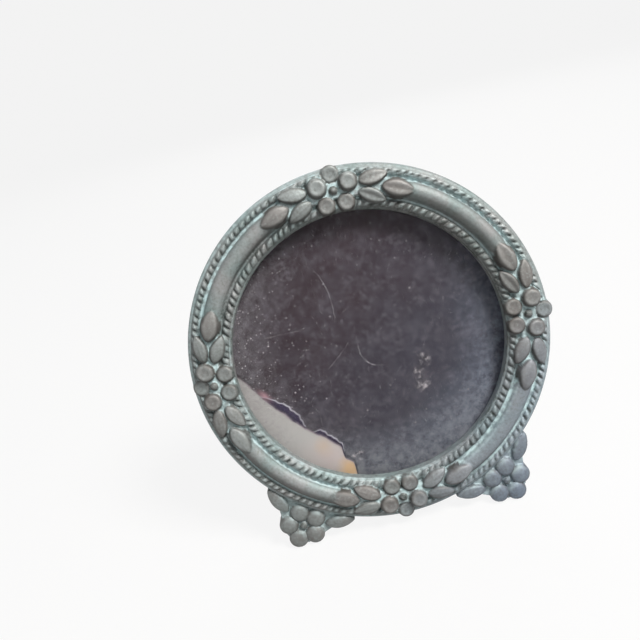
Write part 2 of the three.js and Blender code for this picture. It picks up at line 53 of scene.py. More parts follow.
# Pieces are drawn upright about the ring's centre, in millimetres, with the casting's back on y = 0 and
# its front towards -y. Leaning them back puts them in the frame that the solids share, in metres.
stance = {"glassMiddle": 3.4, "millimetre": 0.001, "sharpFrom": 50}
jointAxes = {joint["name"]: joint["axis"] for joint in frame["joints"]}
backward = Vector(jointAxes["turn_upper_right"]).normalized()
sideways = Vector((1, 0, 0))
axesUp = np.array([sideways, backward, sideways.cross(backward)])
glassLow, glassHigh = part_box("glass_disc")
ringCentre = np.array((glassLow + glassHigh) / 2 + backward * stance["glassMiddle"] * stance["millimetre"])


def leaned(points):
    return np.asarray(points, float) * stance["millimetre"] @ axesUp + ringCentre


def clockAngles(count):
    return np.arange(count) * 2 * np.pi / count


def clockwise(points, angle):
    # turns points about the ring's axis, clockwise as seen from the front
    x, y, z = np.asarray(points, float).T
    c, s = math.cos(angle), math.sin(angle)
    return np.stack([x * c + z * s, y, z * c - x * s], 1)


def linear(code):
    # sRGB hex to the linear colour that a shader takes
    parts = [int(code[i:i + 2], 16) / 255 for i in (0, 2, 4)]
    return [p / 12.92 if p <= 0.04045 else ((p + 0.055) / 1.055) ** 2.4 for p in parts] + [1.0]


def smoothStep(low, high, value):
    t = np.clip((value - low) / (high - low), 0, 1)
    return t * t * (3 - 2 * t)


def softMax(a, b, blend):
    return (a + b + np.sqrt((a - b) ** 2 + blend * blend)) / 2


def addNode(tree, kind, inputs, **settings):
    # an input is a value, a socket, or a node whose first output in use is meant. Mix takes its share at 0
    # and its colours at 6 and 7; Map Range takes its value, limits and results at 0 to 4.
    made = tree.nodes.new("ShaderNode" + kind)
    for key, value in settings.items():
        setattr(made, key, value)
    for key, value in inputs.items():
        if isinstance(value, bpy.types.Node):
            value = next(socket for socket in value.outputs if socket.enabled)
        if isinstance(value, bpy.types.NodeSocket):
            tree.links.new(value, made.inputs[key])
        else:
            made.inputs[key].default_value = value
    return made


def startTree(owner):
    # empties the nodes of a material or world; what comes back adds a node to them
    owner.use_nodes = True
    owner.node_tree.nodes.clear()
    return functools.partial(addNode, owner.node_tree)


def startMaterial(name, masks=(), **grains):
    # a material, what adds a node to it, the upright place on the piece in millimetres, and its masks and
    # noises by name. A noise is a grain size in millimetres, then detail, roughness and distortion.
    made = bpy.data.materials.new(name)
    add = startTree(made)
    where = add("TexCoord", {}).outputs["Object"]
    inMm = add("VectorMath", {0: where, "Scale": 1 / stance["millimetre"]}, operation="SCALE")
    mm = add("Mapping", {"Vector": inMm, "Location": ringCentre / stance["millimetre"],
                         "Rotation": (math.asin(backward.z), 0, 0)}, vector_type="TEXTURE")
    given = {key: add("Attribute", {}, attribute_name=key).outputs["Fac"] for key in masks}
    for key, (size, *rest) in grains.items():
        inputs = dict(zip(("Detail", "Roughness", "Distortion"), rest))
        given[key] = add("TexNoise", {"Vector": mm, "Scale": 1 / size, **inputs})
    return made, add, mm, given


def meshFrom(name, points, faces):
    mesh = bpy.data.meshes.new(name)
    mesh.from_pydata(np.asarray(points).tolist(), [], [tuple(int(i) for i in face) for face in faces])
    mesh.validate()
    mesh.shade_smooth()
    made = bpy.data.objects.new(name, mesh)
    bpy.context.scene.collection.objects.link(made)
    return made


def solidFrom(name, points, faces):
    # a closed piece from upright points, with its faces turned outwards
    made = meshFrom(name, leaned(points), faces)
    shape = bmesh.new()
    shape.from_mesh(made.data)
    bmesh.ops.recalc_face_normals(shape, faces=shape.faces)
    if shape.calc_volume(signed=True) < 0:
        bmesh.ops.reverse_faces(shape, faces=shape.faces)
    shape.to_mesh(made.data)
    shape.free()
    return made


def paintMasks(piece, keys, masks):
    for key, column in zip(keys, masks.T):
        layer = piece.data.attributes.new(key, "FLOAT", "POINT")
        layer.data.foreach_set("value", column.astype(np.float32))


def settle(piece):
    # turns a piece's modifiers into its mesh
    bpy.context.view_layer.update()
    seen = piece.evaluated_get(bpy.context.evaluated_depsgraph_get())
    solid = bpy.data.meshes.new_from_object(seen)
    piece.modifiers.clear()
    piece.data = solid
    piece.data.shade_smooth()


def combine(piece, tools, operation):
    for tool in tools:
        step = piece.modifiers.new(tool.name, "BOOLEAN")
        step.operation = operation
        step.object = tool
        step.solver = "MANIFOLD"
    settle(piece)
    for tool in tools:
        bpy.data.objects.remove(tool)


def roundEdges(piece, width, steps, angle=30):
    # width in millimetres; edges flatter than the angle stay as they are
    step = piece.modifiers.new("edges", "BEVEL")
    step.width = width * stance["millimetre"]
    step.segments = steps
    step.limit_method = "ANGLE"
    step.angle_limit = math.radians(angle)
    settle(piece)


def sharpen(piece):
    piece.data.set_sharp_from_angle(angle=math.radians(stance["sharpFrom"]))


def finishPiece(piece, material, slotName, body, node):
    piece.data.materials.clear()
    piece.data.materials.append(material)
    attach(piece, body)
    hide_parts(node)


def bandFaces(loops):
    # quads from each closed loop of point numbers to the next
    return [(a[i - 1], b[i - 1], b[i], a[i]) for a, b in zip(loops, loops[1:]) for i in range(len(a))]


def fanFaces(pole, loop):
    return [(pole, loop[i - 1], loop[i]) for i in range(len(loop))]


def revolved(profile, count, closed=False):
    # a body about the y axis from (radius, y) pairs that start and end on it, or close round as a tube
    rim, turns = profile if closed else profile[1:-1], clockAngles(count)
    points = [(radius * math.sin(t), y, radius * math.cos(t)) for radius, y in rim for t in turns]
    loops = list(np.arange(len(points)).reshape(-1, count))
    if closed:
        return np.array(points), bandFaces(loops + loops[:1])
    caps = fanFaces(len(points), loops[0]) + fanFaces(len(points) + 1, loops[-1])
    poles = [(0, profile[end][1], 0) for end in (0, -1)]
    return np.array(points + poles, float), bandFaces(loops) + caps


def joined(*bodies):
    # several bodies as one list of points and faces
    points, faces = [], []
    for more, sides in bodies:
        faces += [tuple(i + len(points) for i in face) for face in sides]
        points += list(more)
    return np.array(points), faces


def alongX(body):
    # lays a body that was turned about the y axis along x
    points, faces = body
    return points[:, [1, 2, 0]], faces


def roundedOutline(corners, steps=8):
    # corners are (x, z, radius), in order round the outline
    outline = []
    for i, (x, z, radius) in enumerate(corners):
        here = np.array((x, z))
        before = np.array(corners[i - 1][:2]) - here
        after = np.array(corners[(i + 1) % len(corners)][:2]) - here
        before, after = before / np.hypot(*before), after / np.hypot(*after)
        cut = radius / math.tan(math.acos(np.clip(before @ after, -1, 1)) / 2)
        for t in np.linspace(0, 1, steps) if radius else (0,):  # a soft corner, close to a quarter circle
            outline.append(tuple(here + before * cut * (1 - t) ** 2 + after * cut * t ** 2))
    return outline


def rectangle(middle, width, low, high):
    near, far = middle - width / 2, middle + width / 2
    return [(near, low), (far, low), (far, high), (near, high)]


def slabBetween(outline, front, back):
    # a plate with the outline (x, z), from y = front to y = back
    n = len(outline)
    points = [(x, y, z) for y in (front, back) for x, z in outline]
    caps = [tuple(range(n)), tuple(range(2 * n - 1, n - 1, -1))]
    return np.array(points, float), caps + bandFaces(np.arange(2 * n).reshape(2, n))


# Camera: fitted to the photograph on the ring, the sprays and the feet
view = {
    "place": (-4.308, -165.684, 38.635),
    "right": (0.97286, -0.00469, -0.23136),
    "up": (0.22837, 0.18084, 0.95663),
    "lens": 36.5625, "sensor": 36.0, "nearest": 0.01,
}
camera = bpy.data.objects.new("camera", bpy.data.cameras.new("camera"))
bpy.context.scene.collection.objects.link(camera)
camera.data.lens = view["lens"]
camera.data.sensor_width = view["sensor"]
camera.data.clip_start = view["nearest"]
right, up = (Vector(np.array(view[key]) @ axesUp).normalized() for key in ("right", "up"))
up = (up - right * up.dot(right)).normalized()
turn = Matrix((right, up, right.cross(up))).transposed().to_4x4()
camera.matrix_world = Matrix.Translation(Vector(leaned([view["place"]])[0])) @ turn
bpy.context.scene.camera = camera
bpy.context.scene.view_settings.view_transform = "Standard"
print("camera set")

# Cast ring. It came out of its mould with no undercuts, so its front is one height over the back plane
# for every clock angle and radius: ropes, moulding, petals and leaves are added to that height.
# Here and below, a pair of limits says where something begins and where it is full.
ring = {
    "window": 34.5, "lip": 0.45, "innerRope": 2.15, "valley": 0.6, "moulding": 4.6, "outerRope": 1.75,
    "rim": 1.05, "draft": 0.5, "crest": 9.0, "mouldingRise": 2.0, "rimHeight": 5.3, "lipRound": 0.35,
    "fillet": 0.10, "turns": 1080, "backTurns": 540, "stations": (3, 14, 3, 20, 3, 10, 9),
    "core": {"middle": 41.4, "half": 1.9, "depth": 2.0, "taper": 0.3, "edge": 0.18},
    "rebate": {"radius": 37.6, "depth": 4.2}, "flank": (0.04, 0.25, 0.03), "flankDrop": 0.5,
    "wallPaintedLight": 0.3, "wallShade": 0.9,
}
ropes = {
    "pitch": 1.9, "rise": 0.95, "twist": 0.5, "strand": 0.6, "floor": 0.04, "unevenness": 0.2,
    "unevenWaves": (23, 11), "shallowest": 0.55, "cleanest": 0.6, "notch": (0.84, 0.3),
    "crown": (0.5, 0.95), "fade": 0.55, "fadeLimits": (-0.2, 0.9), "runOut": 0.6, "runOutLimits": (-2, -0.8),
}
spray = {
    "count": 4, "petals": 5, "span": 0.8, "jitter": 0.07, "raised": (-0.05, 0.35), "outline": (0.5, 0.95),
    "groundDrop": 0.9, "groundRun": 13.0, "groundEase": 1.6, "wallSlope": 3.6, "ropeUnder": 0.4,
    "petalRing": 4.05, "petalRadius": 2.2, "petalRise": 0.95, "petalFlat": 3.0,
    "petalDrops": (1.8, 0.1, 0.95), "tucked": (0.25, 0, 0, 0.7), "dishRadius": 1.35, "dishDepth": 0.36,
    "beadRadius": 1.05, "beadDrop": 0.85, "beadEdge": (0.05, -0.15), "beadGrime": (0.6, 1.4, 1.0, 0.55),
    "seamGrime": (0.8, 0.25, 0.35, 0.5), "seamBegins": (-0.6, -0.1), "seamEnds": (0.5, 0.1),
    "nearLeaf": (7.2, 3.7, 1.25), "nearRun": 9.4, "nearSplit": 2.2, "nearDrop": 0.9, "nearTilt": 17,
    "nearRoll": 12, "farLeaf": (8.3, 4.4, 1.45), "farRun": 15.6, "farDrop": 0.4,
    "rubbed": 0.62, "rubbedLeaf": (2, 1, 0), "leafTaper": 0.9, "leafFullness": 0.62, "leafFlat": 2.7,
    "leafSwell": 0.7, "ribWidth": 0.22, "ribRise": 0.06, "leafDish": 0.16, "dishWidth": 0.62,
    "leafCupped": 0.5, "cupped": ((0, 1), (1, -1)), "brownest": (0, 0.65, 0.15, 0), "rimTone": 0.15,
}
widths = [ring[key] for key in ("lip", "innerRope", "valley", "moulding", "valley", "outerRope", "rim")]
edges = ring["window"] + np.concatenate([[0], np.cumsum(widths)])
crestRadius = (edges[3] + edges[4]) / 2
valleyHeight = ring["crest"] - ring["mouldingRise"]
rimRadius = edges[-1]
farBelow = -10.0  # where there is no petal or leaf
# Pewter masks: under is painted shade on what looks down, away from the light; chalk and grime also carry
# some painted light and painted shade
plainMasks = {"raised": 0, "chalk": 0, "grime": 0.15, "worn": 0.2, "under": 0, "tone": 0.5, "toRim": 0}
pewterMasks = list(plainMasks)


def petalHeight(distance, radius, shoulder, rise, flat, dishDepth):
    # a round pad, a little dished in its middle, with a steep side below its shoulder
    inside = np.clip(1 - (distance / radius) ** flat, 0, 1)
    dish = dishDepth * np.exp(-(distance / spray["dishRadius"]) ** 4)
    top = shoulder + rise * np.sqrt(inside) - dish
    return np.where(distance < radius, top, shoulder - (distance - radius) * spray["wallSlope"])


def leafHalfWidth(share, width):
    return width / 2 * np.sin(np.pi * np.clip(share, 0, 1) ** spray["leafTaper"]) ** spray["leafFullness"]


def leafHeight(along, across, size, base, dishing):
    # a pointed oval pad, dished along both sides of a faint midrib, or cupped; its tip is towards +along.
    # Returns its height and the share of the way from the midrib to the edge.
    length, width, rise = size
    share = along / length + 0.5
    half = np.maximum(leafHalfWidth(share, width), 1e-6)
    full = 2 * half / width
    inside = np.clip(1 - np.abs(across / half) ** spray["leafFlat"], 0, 1)
    body = rise * full ** spray["leafSwell"] * np.sqrt(inside)
    cupped = dishing > spray["leafDish"]
    rib = 0 if cupped else spray["ribRise"] * np.exp(-(across / spray["ribWidth"]) ** 2) * inside
    dish = dishing * np.exp(-np.abs(across / half / spray["dishWidth"]) ** (2 if cupped else 4)) * full
    pastEnd = np.maximum(np.abs(share - 0.5) - 0.5, 0) * length
    past = np.hypot(np.maximum(np.abs(across) - half, 0), pastEnd)
    top = np.where(past > 0, base - past * spray["wallSlope"], base + body + rib - dish)
    return top, np.minimum(np.abs(across) / half, 1)


def beadHeight(away, level):
    ball = np.sqrt(np.clip(spray["beadRadius"] ** 2 - away ** 2, 0, None))
    return np.where(away < spray["beadRadius"], level + ball, farBelow)


def beadMask(away):
    outside, inside = (spray["beadRadius"] + change for change in spray["beadEdge"])
    return smoothStep(outside, inside, away)


def bareRelief(shape):
    # nothing is raised yet: height, tone, and the shares of the way to an edge and to the upper side
    start = {"top": farBelow, "tone": plainMasks["tone"], "toEdge": 0.0, "upper": 0.0}
    return {key: np.full(shape, value) for key, value in start.items()}


def lay(relief, top, where=True, **marks):
    # the highest petal or leaf gives a place its marks
    over = where & (top > relief["top"])
    for key, value in {"top": top, **marks}.items():
        relief[key] = np.where(over, value, relief[key])


def ropeHeight(radius, clock, start, width, fade):
    # slanted strands over a round core, cut less deep towards the outside where they fade out, or else run
    # out over the lip. Returns the height above the valley, how deep in a notch it is, and how pale its
    # crown is, partly chalky bloom and partly painted highlight.
    across = (radius - start - width / 2) / (width / 2)
    bulge = np.sqrt(np.clip(1 - across ** 2, 0, 1))
    strands = round(2 * math.pi * (start + width / 2) / ropes["pitch"])
    phase = clock * strands / (2 * np.pi) - ropes["twist"] * across / 2
    fast, slow = ropes["unevenWaves"]
    phase = phase + ropes["unevenness"] * np.sin(clock * fast + start) * np.sin(clock * slow)
    draws = np.random.default_rng(strands)  # no two notches came out of the mould alike
    notchAt, strandAt = (np.asarray(f(phase), int) % strands for f in (np.floor, np.round))
    depth = draws.uniform(ropes["shallowest"], 1, strands)[notchAt]
    dirty = draws.uniform(ropes["cleanest"], 1, strands)[notchAt]
    pale = draws.uniform(0, 1, strands)[strandAt]
    kept = 1 - fade * smoothStep(*ropes["fadeLimits"], across)
    ridge = np.abs(np.cos(np.pi * phase))
    strand = 1 - (1 - ridge ** ropes["strand"]) * kept * depth
    height = ropes["rise"] * bulge * (ropes["floor"] + (1 - ropes["floor"]) * strand)
    runOut = ropes["runOut"] * smoothStep(*ropes["runOutLimits"], across) * (across < 0) * (fade == 0)
    ends = np.maximum(bulge ** 0.5, runOut)
    notch = smoothStep(*ropes["notch"], ridge) * dirty * kept * ends
    crown = smoothStep(*ropes["crown"], ridge) * pale * ends ** 2
    return np.where(np.abs(across) < 1, height, 0), notch, crown


petalTable = []  # for each petal: spray, place along and out from the bead, radius, shoulder height, tone
leafTable = []  # for each leaf: spray, side, over, length, width and rise, base height, depth of dish, tone
shapeDraws, toneDraws = np.random.default_rng(7), np.random.default_rng(11)
for s in range(spray["count"]):
    for i, around in enumerate(clockAngles(spray["petals"])):
        nudge = shapeDraws.uniform(-1, 1, 4) * spray["jitter"]
        along, out = spray["petalRing"] * math.sin(around), spray["petalRing"] * math.cos(around)
        drop = spray["petalDrops"][min(i, spray["petals"] - i)]
        petalTable.append((
            s, along + nudge[0], out + nudge[1] - (0 if i else spray["tucked"][s]),
            spray["petalRadius"] * (1 + nudge[2] / 2), ring["crest"] - drop + nudge[3],
            toneDraws.uniform(spray["brownest"][s], 1) if i else spray["rimTone"],
        ))
    for side in (-1, 1):
        for over in (-1, 0, 1):
            kind = "near" if over else "far"
            swell = 1 + shapeDraws.uniform(-1, 1) * spray["jitter"] / 2
            worn = spray["rubbed"] if (s, side, over) == spray["rubbedLeaf"] else 0  # almost to the moulding
            leafTable.append((
                s, side, over, tuple(v * swell for v in spray[kind + "Leaf"]),
                ring["crest"] - spray[kind + "Drop"] - worn,
                spray["leafCupped"] if (s, side) in spray["cupped"] else spray["leafDish"],
                toneDraws.uniform(spray["brownest"][s], 1),
            ))


def nearestSpray(clock):
    # which spray is nearest, and how far along the ring it is
    number = np.round(clock / (2 * np.pi) * spray["count"])
    away = np.abs(clock - number / spray["count"] * 2 * np.pi) * crestRadius
    return number.astype(int) % spray["count"], away


def fromCrest(radius, clock, s, run=0):
    # place along and out from the crest of a spray, or further along it, and whether it is near at all
    turned = clock - 2 * np.pi * s / spray["count"] - run / crestRadius
    return radius * np.sin(turned), radius * np.cos(turned) - crestRadius, np.cos(turned) > spray["span"]


def ringFront(radius, clock):
    # height of the ring's front, and masks for what is raised, dirty and chalky, its tone and its outline
    lipShare = np.clip((edges[1] - radius) / ring["lip"], 0, 1)
    base = valleyHeight - ring["lipRound"] * (1 - np.sqrt(1 - lipShare ** 2))
    grime, teeth, beads = (np.zeros(radius.shape) for _ in range(3))
    for start, key, fade in ((edges[1], "innerRope", 0), (edges[5], "outerRope", ropes["fade"])):
        height, notch, crown = ropeHeight(radius, clock, start, ring[key], fade)
        base += height
        grime, teeth = np.maximum(grime, notch), np.maximum(teeth, crown)
    across = np.clip((radius - crestRadius) / (ring["moulding"] / 2), -1, 1)
    moulding = valleyHeight + ring["mouldingRise"] * np.sqrt(1 - across ** 2)
    sprayAt, alongRing = nearestSpray(clock)
    run, ease = spray["groundRun"], spray["groundEase"]
    ground = np.minimum(moulding, ring["crest"] - spray["groundDrop"])
    flattened = moulding + (ground - moulding) * smoothStep(run + ease, run - ease, alongRing)
    base = np.where(np.abs(radius - crestRadius) < ring["moulding"] / 2, flattened, base)
    rimShare = np.clip((radius - edges[6]) / ring["rim"], 0, 1)
    rimTop = ring["rimHeight"] + (valleyHeight - ring["rimHeight"]) * np.sqrt(1 - rimShare ** 2)
    base = np.where(radius > edges[6], rimTop, base)

    relief, covered = bareRelief(radius.shape), np.zeros(radius.shape, bool)
    for s, along, out, size, shoulder, ownTone in petalTable:
        x, z, onSpray = fromCrest(radius, clock, s)
        away = np.hypot(x - along, z - out)
        pad = petalHeight(away, size, shoulder, spray["petalRise"], spray["petalFlat"], spray["dishDepth"])
        lay(relief, pad, onSpray, tone=ownTone, toEdge=np.minimum(away / size, 1))
        covered |= onSpray & (away < size)
    for s, side, over, size, level, dishing, ownTone in leafTable:
        x, z, onSpray = fromCrest(radius, clock, s, side * spray["nearRun" if over else "farRun"])
        z = z - over * spray["nearSplit"]
        tilt = side * over * math.radians(spray["nearTilt"])
        alongLeaf = side * (x * math.cos(tilt) + z * math.sin(tilt))
        acrossLeaf = side * (z * math.cos(tilt) - x * math.sin(tilt))
        rolled = level - over * math.tan(math.radians(spray["nearRoll"])) * side * acrossLeaf
        top, share = leafHeight(alongLeaf, acrossLeaf, size, rolled, dishing)
        lay(relief, top, onSpray, tone=ownTone, toEdge=share)
    for s, dirt in enumerate(spray["beadGrime"]):
        x, z, onSpray = fromCrest(radius, clock, s)
        away = np.hypot(x, z)
        ball = beadHeight(away, ring["crest"] - spray["beadDrop"])
        lay(relief, ball, onSpray, tone=plainMasks["tone"], toEdge=0)
        beads = np.maximum(beads, dirt * beadMask(away) * onSpray)
    raised = relief["top"]
    base = np.where(covered, np.minimum(base, raised - spray["ropeUnder"]), base)  # ropes end under petals
    stands = raised - base
    isRaised = smoothStep(*spray["raised"], stands)
    # dirt round the foot of petals and leaves
    seam = smoothStep(*spray["seamBegins"], stands) * smoothStep(*spray["seamEnds"], stands)
    seamGrime = np.array(spray["seamGrime"])[sprayAt]
    grime = np.maximum.reduce([grime * (1 - isRaised), beads, seamGrime * seam])
    outline = smoothStep(*spray["outline"], relief["toEdge"]) * isRaised
    height = softMax(base, raised, ring["fillet"])
    return height, isRaised, grime, teeth * (1 - isRaised), relief["tone"], outline


# Patina of the ring: bloom in the hollows, dirt and rubbed high spots, with painted shade on what looks down
# and away from the light, and painted light on the lip's lowest stretch. Clock angles are in degrees.
# Weathering rows give a clock angle, radii from and to, and how much more or less bloom, dirt and painted
# shade there is there; the dirt added on the lip and inner rope at the upper right is painted shade as well.
patina = {
    "hollow": (0.04, 0.42), "hollowSpread": 6, "hollowBloom": 1.3, "grimeHides": 0.75, "rimHides": 0.8,
    "wide": (0.05, 0.8), "wideSpread": 14, "wideBloom": 0.5, "wideBloomRight": 0.4, "onRight": (0.2, 0.9),
    "farFromSpray": (11, 17), "valley": (0.5, 0.2), "valleyAbove": (-0.1, 0.6), "valleyDulled": 0.55,
    "lip": (0.1, -0.3), "lipDulled": 0.7, "lipBloom": 0.05, "lipPaintedShade": 0.8,
    "lipLitAt": 200, "lipLit": (0.55, 0.95), "lipPaintedLight": 0.4,  # painted light on the lowest stretch of the lip, which looks up to the light
    "rim": (-0.1, 0.5), "rimBloom": 0.3, "rimBloomLeft": 0.35, "rimGrime": 0.15, "onLeft": (-0.3, 0.9),
    "crownBloomAndHighlight": 0.28, "worn": (0.15, 0.9), "lookingDown": 0.87, "lookingLeft": 0.5, "under": (0.03, 0.6),
    "rimLit": 0.6, "mouldingEase": (0.1, 0.2), "mouldingAt": 215, "mouldingSides": (0.2, 0.9),
    "mouldingUnder": (-0.12, 0.4), "tips": (0.8, 1.0), "tipsLit": 0.75, "ropeShade": (-0.2, 0.9),
    "shadedRopes": ((edges[0], edges[2], 30, 0.95), (edges[5], edges[6], 225, 0.7)), "ropeEase": (0.2, 0.1),
    "weatheredRun": (0.6, 0.95), "weatheredEase": (0.3, 0.1),
    "weathering": (
        (132, 37.7, 38.5, 0.45, 0, -0.8), (132, 42.9, 45.7, 0.3, 0, 0), (132, 34.95, 37.1, -0.3, 0.35, 0),
        (42, 42.7, 43.5, 0.55, -0.7, -0.9), (42, 44.5, 45.7, -0.5, 0, 0.3), (42, 38.5, 42.3, 0, 0, 0.4),
        (42, 34.5, 36.3, 0, 0.7, 0), (225, 36.5, 37.4, 0.5, -0.4, -0.8), (303, 36.6, 37.9, -0.8, 0.75, 0),
        (303, 35.2, 37.0, -0.3, 0.3, 0.2),
    ),
}


def blurred(grid, spread):
    # soft average over a grid that closes round its first direction
    steps = np.arange(-3 * spread, 3 * spread + 1)
    weights = np.exp(-(steps / spread) ** 2 / 2)
    weights /= weights.sum()
    turned = sum(w * np.roll(grid, s, 0) for w, s in zip(weights, steps))
    padded = np.pad(turned, ((0, 0), (3 * spread, 3 * spread)), mode="edge")
    return sum(w * padded[:, k:k + grid.shape[1]] for k, w in enumerate(weights))


def within(radius, low, high, outside, inside):
    begins = smoothStep(low - outside, low + inside, radius)
    return begins * smoothStep(high + outside, high - inside, radius)


def ringPatina(grid, clocks, height, raised, grime, teeth):
    def towards(degrees):
        return np.cos(clocks - math.radians(degrees))

    bare = 1 - raised
    onRim = smoothStep(edges[6] + patina["rim"][0], edges[6] + patina["rim"][1], grid)
    onLip = smoothStep(edges[1] + patina["lip"][0], edges[1] + patina["lip"][1], grid)
    onRight = smoothStep(*patina["onRight"], np.sin(clocks - math.pi / 4))
    onLeft = smoothStep(*patina["onLeft"], -np.sin(clocks))
    # the lip's lowest stretch, which gets painted light; the rest of the lip gets painted shade
    lipLit = smoothStep(*patina["lipLit"], towards(patina["lipLitAt"]))

    hollow = blurred(height, patina["hollowSpread"]) - height
    chalk = patina["hollowBloom"] * smoothStep(*patina["hollow"], hollow) * bare
    chalk *= (1 - patina["grimeHides"] * grime) * (1 - patina["rimHides"] * onRim)
    valley = smoothStep(*patina["valley"], np.abs(grid - edges[2] - ring["valley"] / 2))
    valley *= smoothStep(*patina["farFromSpray"], nearestSpray(clocks)[1])
    chalk *= 1 - patina["valleyDulled"] * valley * smoothStep(*patina["valleyAbove"], np.cos(clocks))
    wide = smoothStep(*patina["wide"], blurred(height, patina["wideSpread"]) - height)
    wide *= patina["wideBloom"] + patina["wideBloomRight"] * onRight
    chalk = np.maximum(chalk, wide * bare * (1 - grime) * (1 - onRim))
    lipBloom = patina["lipBloom"] + patina["lipPaintedLight"] * lipLit
    chalk = np.maximum(chalk * (1 - patina["lipDulled"] * onLip), onLip * lipBloom)
    # pale crowns on the strands: bloom and painted highlight
    chalk = np.maximum(chalk, patina["crownBloomAndHighlight"] * teeth)
    chalk += (patina["rimBloom"] + patina["rimBloomLeft"] * onLeft) * onRim * bare
    # dirt on the rim, and painted shade on the lip away from its lowest stretch
    grime = np.maximum.reduce([grime, patina["rimGrime"] * onRim * (1 - onLeft) * bare,
                               patina["lipPaintedShade"] * onLip * (1 - lipLit)])

    # how steeply the front looks down and a little to the left, away from the light: painted shade goes
    # there
    outwards = np.gradient(height, axis=1) / np.gradient(grid, axis=1)
    around = (np.roll(height, -1, 0) - np.roll(height, 1, 0)) * len(grid) / (4 * np.pi) / grid
    facing = patina["lookingDown"] * (outwards * np.cos(clocks) - around * np.sin(clocks))
    facing += patina["lookingLeft"] * (outwards * np.sin(clocks) + around * np.cos(clocks))
    under = smoothStep(*patina["under"], facing) * (1 - patina["rimLit"] * onRim)
    # painted shade on the moulding's outer half, where it looks away from the light, mostly at the lower
    # left and upper right
    onMoulding = within(grid, edges[3], edges[4], *patina["mouldingEase"]) * bare
    lopsided = smoothStep(*patina["mouldingSides"], np.abs(towards(patina["mouldingAt"])))
    under = np.maximum(under, onMoulding * lopsided * smoothStep(*patina["mouldingUnder"], facing))
    tips = smoothStep(*patina["tips"], (height - valleyHeight) / ropes["rise"])
    easeIn, easeOut = patina["ropeEase"]
    for low, high, clockAt, most in patina["shadedRopes"]:
        # painted shade on the ropes between the tips here, where the moulding shades them; the tips stay
        # lighter
        onRope = smoothStep(low - easeIn, low, grid) * smoothStep(high + easeOut, high, grid) * bare
        shade = smoothStep(*patina["ropeShade"], towards(clockAt)) * (1 - patina["tipsLit"] * tips)
        under = np.maximum(under, most * onRope * shade)
    for clockAt, low, high, *changes in patina["weathering"]:
        there = smoothStep(*patina["weatheredRun"], towards(clockAt)) * bare
        there *= within(grid, low, high, *patina["weatheredEase"])
        chalk, grime, under = (np.maximum(mask, more * there) if more > 0 else mask * (1 + more * there)
                               for mask, more in zip((chalk, grime, under), changes))
    return chalk, grime, smoothStep(*patina["worn"], -hollow), under


def castRing():
    turns = ring["turns"]
    clock = clockAngles(turns)
    outer = np.full(turns, rimRadius)
    for s, along, out, size, *_ in petalTable[::spray["petals"]]:  # the petal over the rim stands past it
        middle = crestRadius + out
        turned = clock - 2 * np.pi * s / spray["count"] - along / middle
        reach = size ** 2 - (middle * np.sin(turned)) ** 2
        past = middle * np.cos(turned) + np.sqrt(np.clip(reach, 0, None))
        outer = np.maximum(outer, np.where((reach > 0) & (np.cos(turned) > 0), past, 0))
    stations = [ring["window"]]
    for low, high, count in zip(edges, edges[1:], ring["stations"]):
        stations += list(low + (high - low) * (np.arange(count) + 1) / count)
    grid = np.repeat(np.array(stations)[None, :], turns, 0)
    grid += np.clip((grid - edges[6]) / ring["rim"], 0, 1) * (outer[:, None] - rimRadius)
    clocks = np.repeat(clock[:, None], len(stations), 1)
    height, raised, grime, teeth, tone, toRim = ringFront(grid, clocks)
    chalk, grime, worn, under = ringPatina(grid, clocks, height, raised, grime, teeth)
    points = [np.stack([grid * np.sin(clocks), -height, grid * np.cos(clocks)], 2).reshape(-1, 3)]
    masks = [np.stack([raised, chalk, grime, worn, under, tone, toRim], 2).reshape(-1, len(pewterMasks))]
    numbers = np.arange(grid.size).reshape(grid.shape).T

    # round the rim, over the cored back and up the rebate to the window's edge
    core, rebate, window, top = ring["core"], ring["rebate"], ring["window"], ring["rimHeight"]
    e, taper, depth, seat = core["edge"], core["taper"], core["depth"], rebate["depth"]
    near, far = core["middle"] - core["half"], core["middle"] + core["half"]
    back, disc = rimRadius - ring["draft"], rebate["radius"]
    inset, swell, foldIn = ring["flank"]
    profile = [
        (rimRadius - inset, top - ring["flankDrop"]), (back + swell, top / 2), (back + foldIn, 2 * e),
        (back - 2 * e, 0), (far + e, 0), (far, e), (far - taper, depth - e), (far - taper - e, depth),
        (near + taper + e, depth), (near + taper, depth - e), (near, e), (near - e, 0), (disc + e, 0),
        (disc, e), (disc, seat - e), (disc - e, seat), (window + e, seat), (window, seat + e),
        (window, valleyHeight - ring["lipRound"] - e),
    ]
    count = ring["backTurns"]
    sine, cosine = np.sin(clockAngles(count)), np.cos(clockAngles(count))
    loops = grid.size + np.arange(len(profile) * count).reshape(-1, count)
    for radius, level in profile:
        points.append(np.stack([radius * sine, np.full(count, -level), radius * cosine], 1))
        backMasks = np.repeat([list(plainMasks.values())], count, 0)
        if radius == window:  # painted shade on the window's wall above, where it looks down, and painted light below, where it looks up
            for key, most in (("chalk", -ring["wallPaintedLight"]), ("under", ring["wallShade"])):
                backMasks[:, pewterMasks.index(key)] = np.clip(most * cosine, 0, None)
        masks.append(backMasks)
    faces = bandFaces(numbers) + bandFaces(loops)
    for column, loop, flip in ((numbers[-1], loops[0], False), (numbers[0], loops[-1], True)):
        for i in range(count):  # two steps of the front to one of the back
            p, q, r = (column[2 * i + k] for k in (-2, -1, 0))
            a, b = loop[i - 1], loop[i]
            faces += [f[::-1] if flip else f for f in ((p, a, q), (q, a, b), (q, b, r))]
    return np.concatenate(points), faces, np.concatenate(masks)


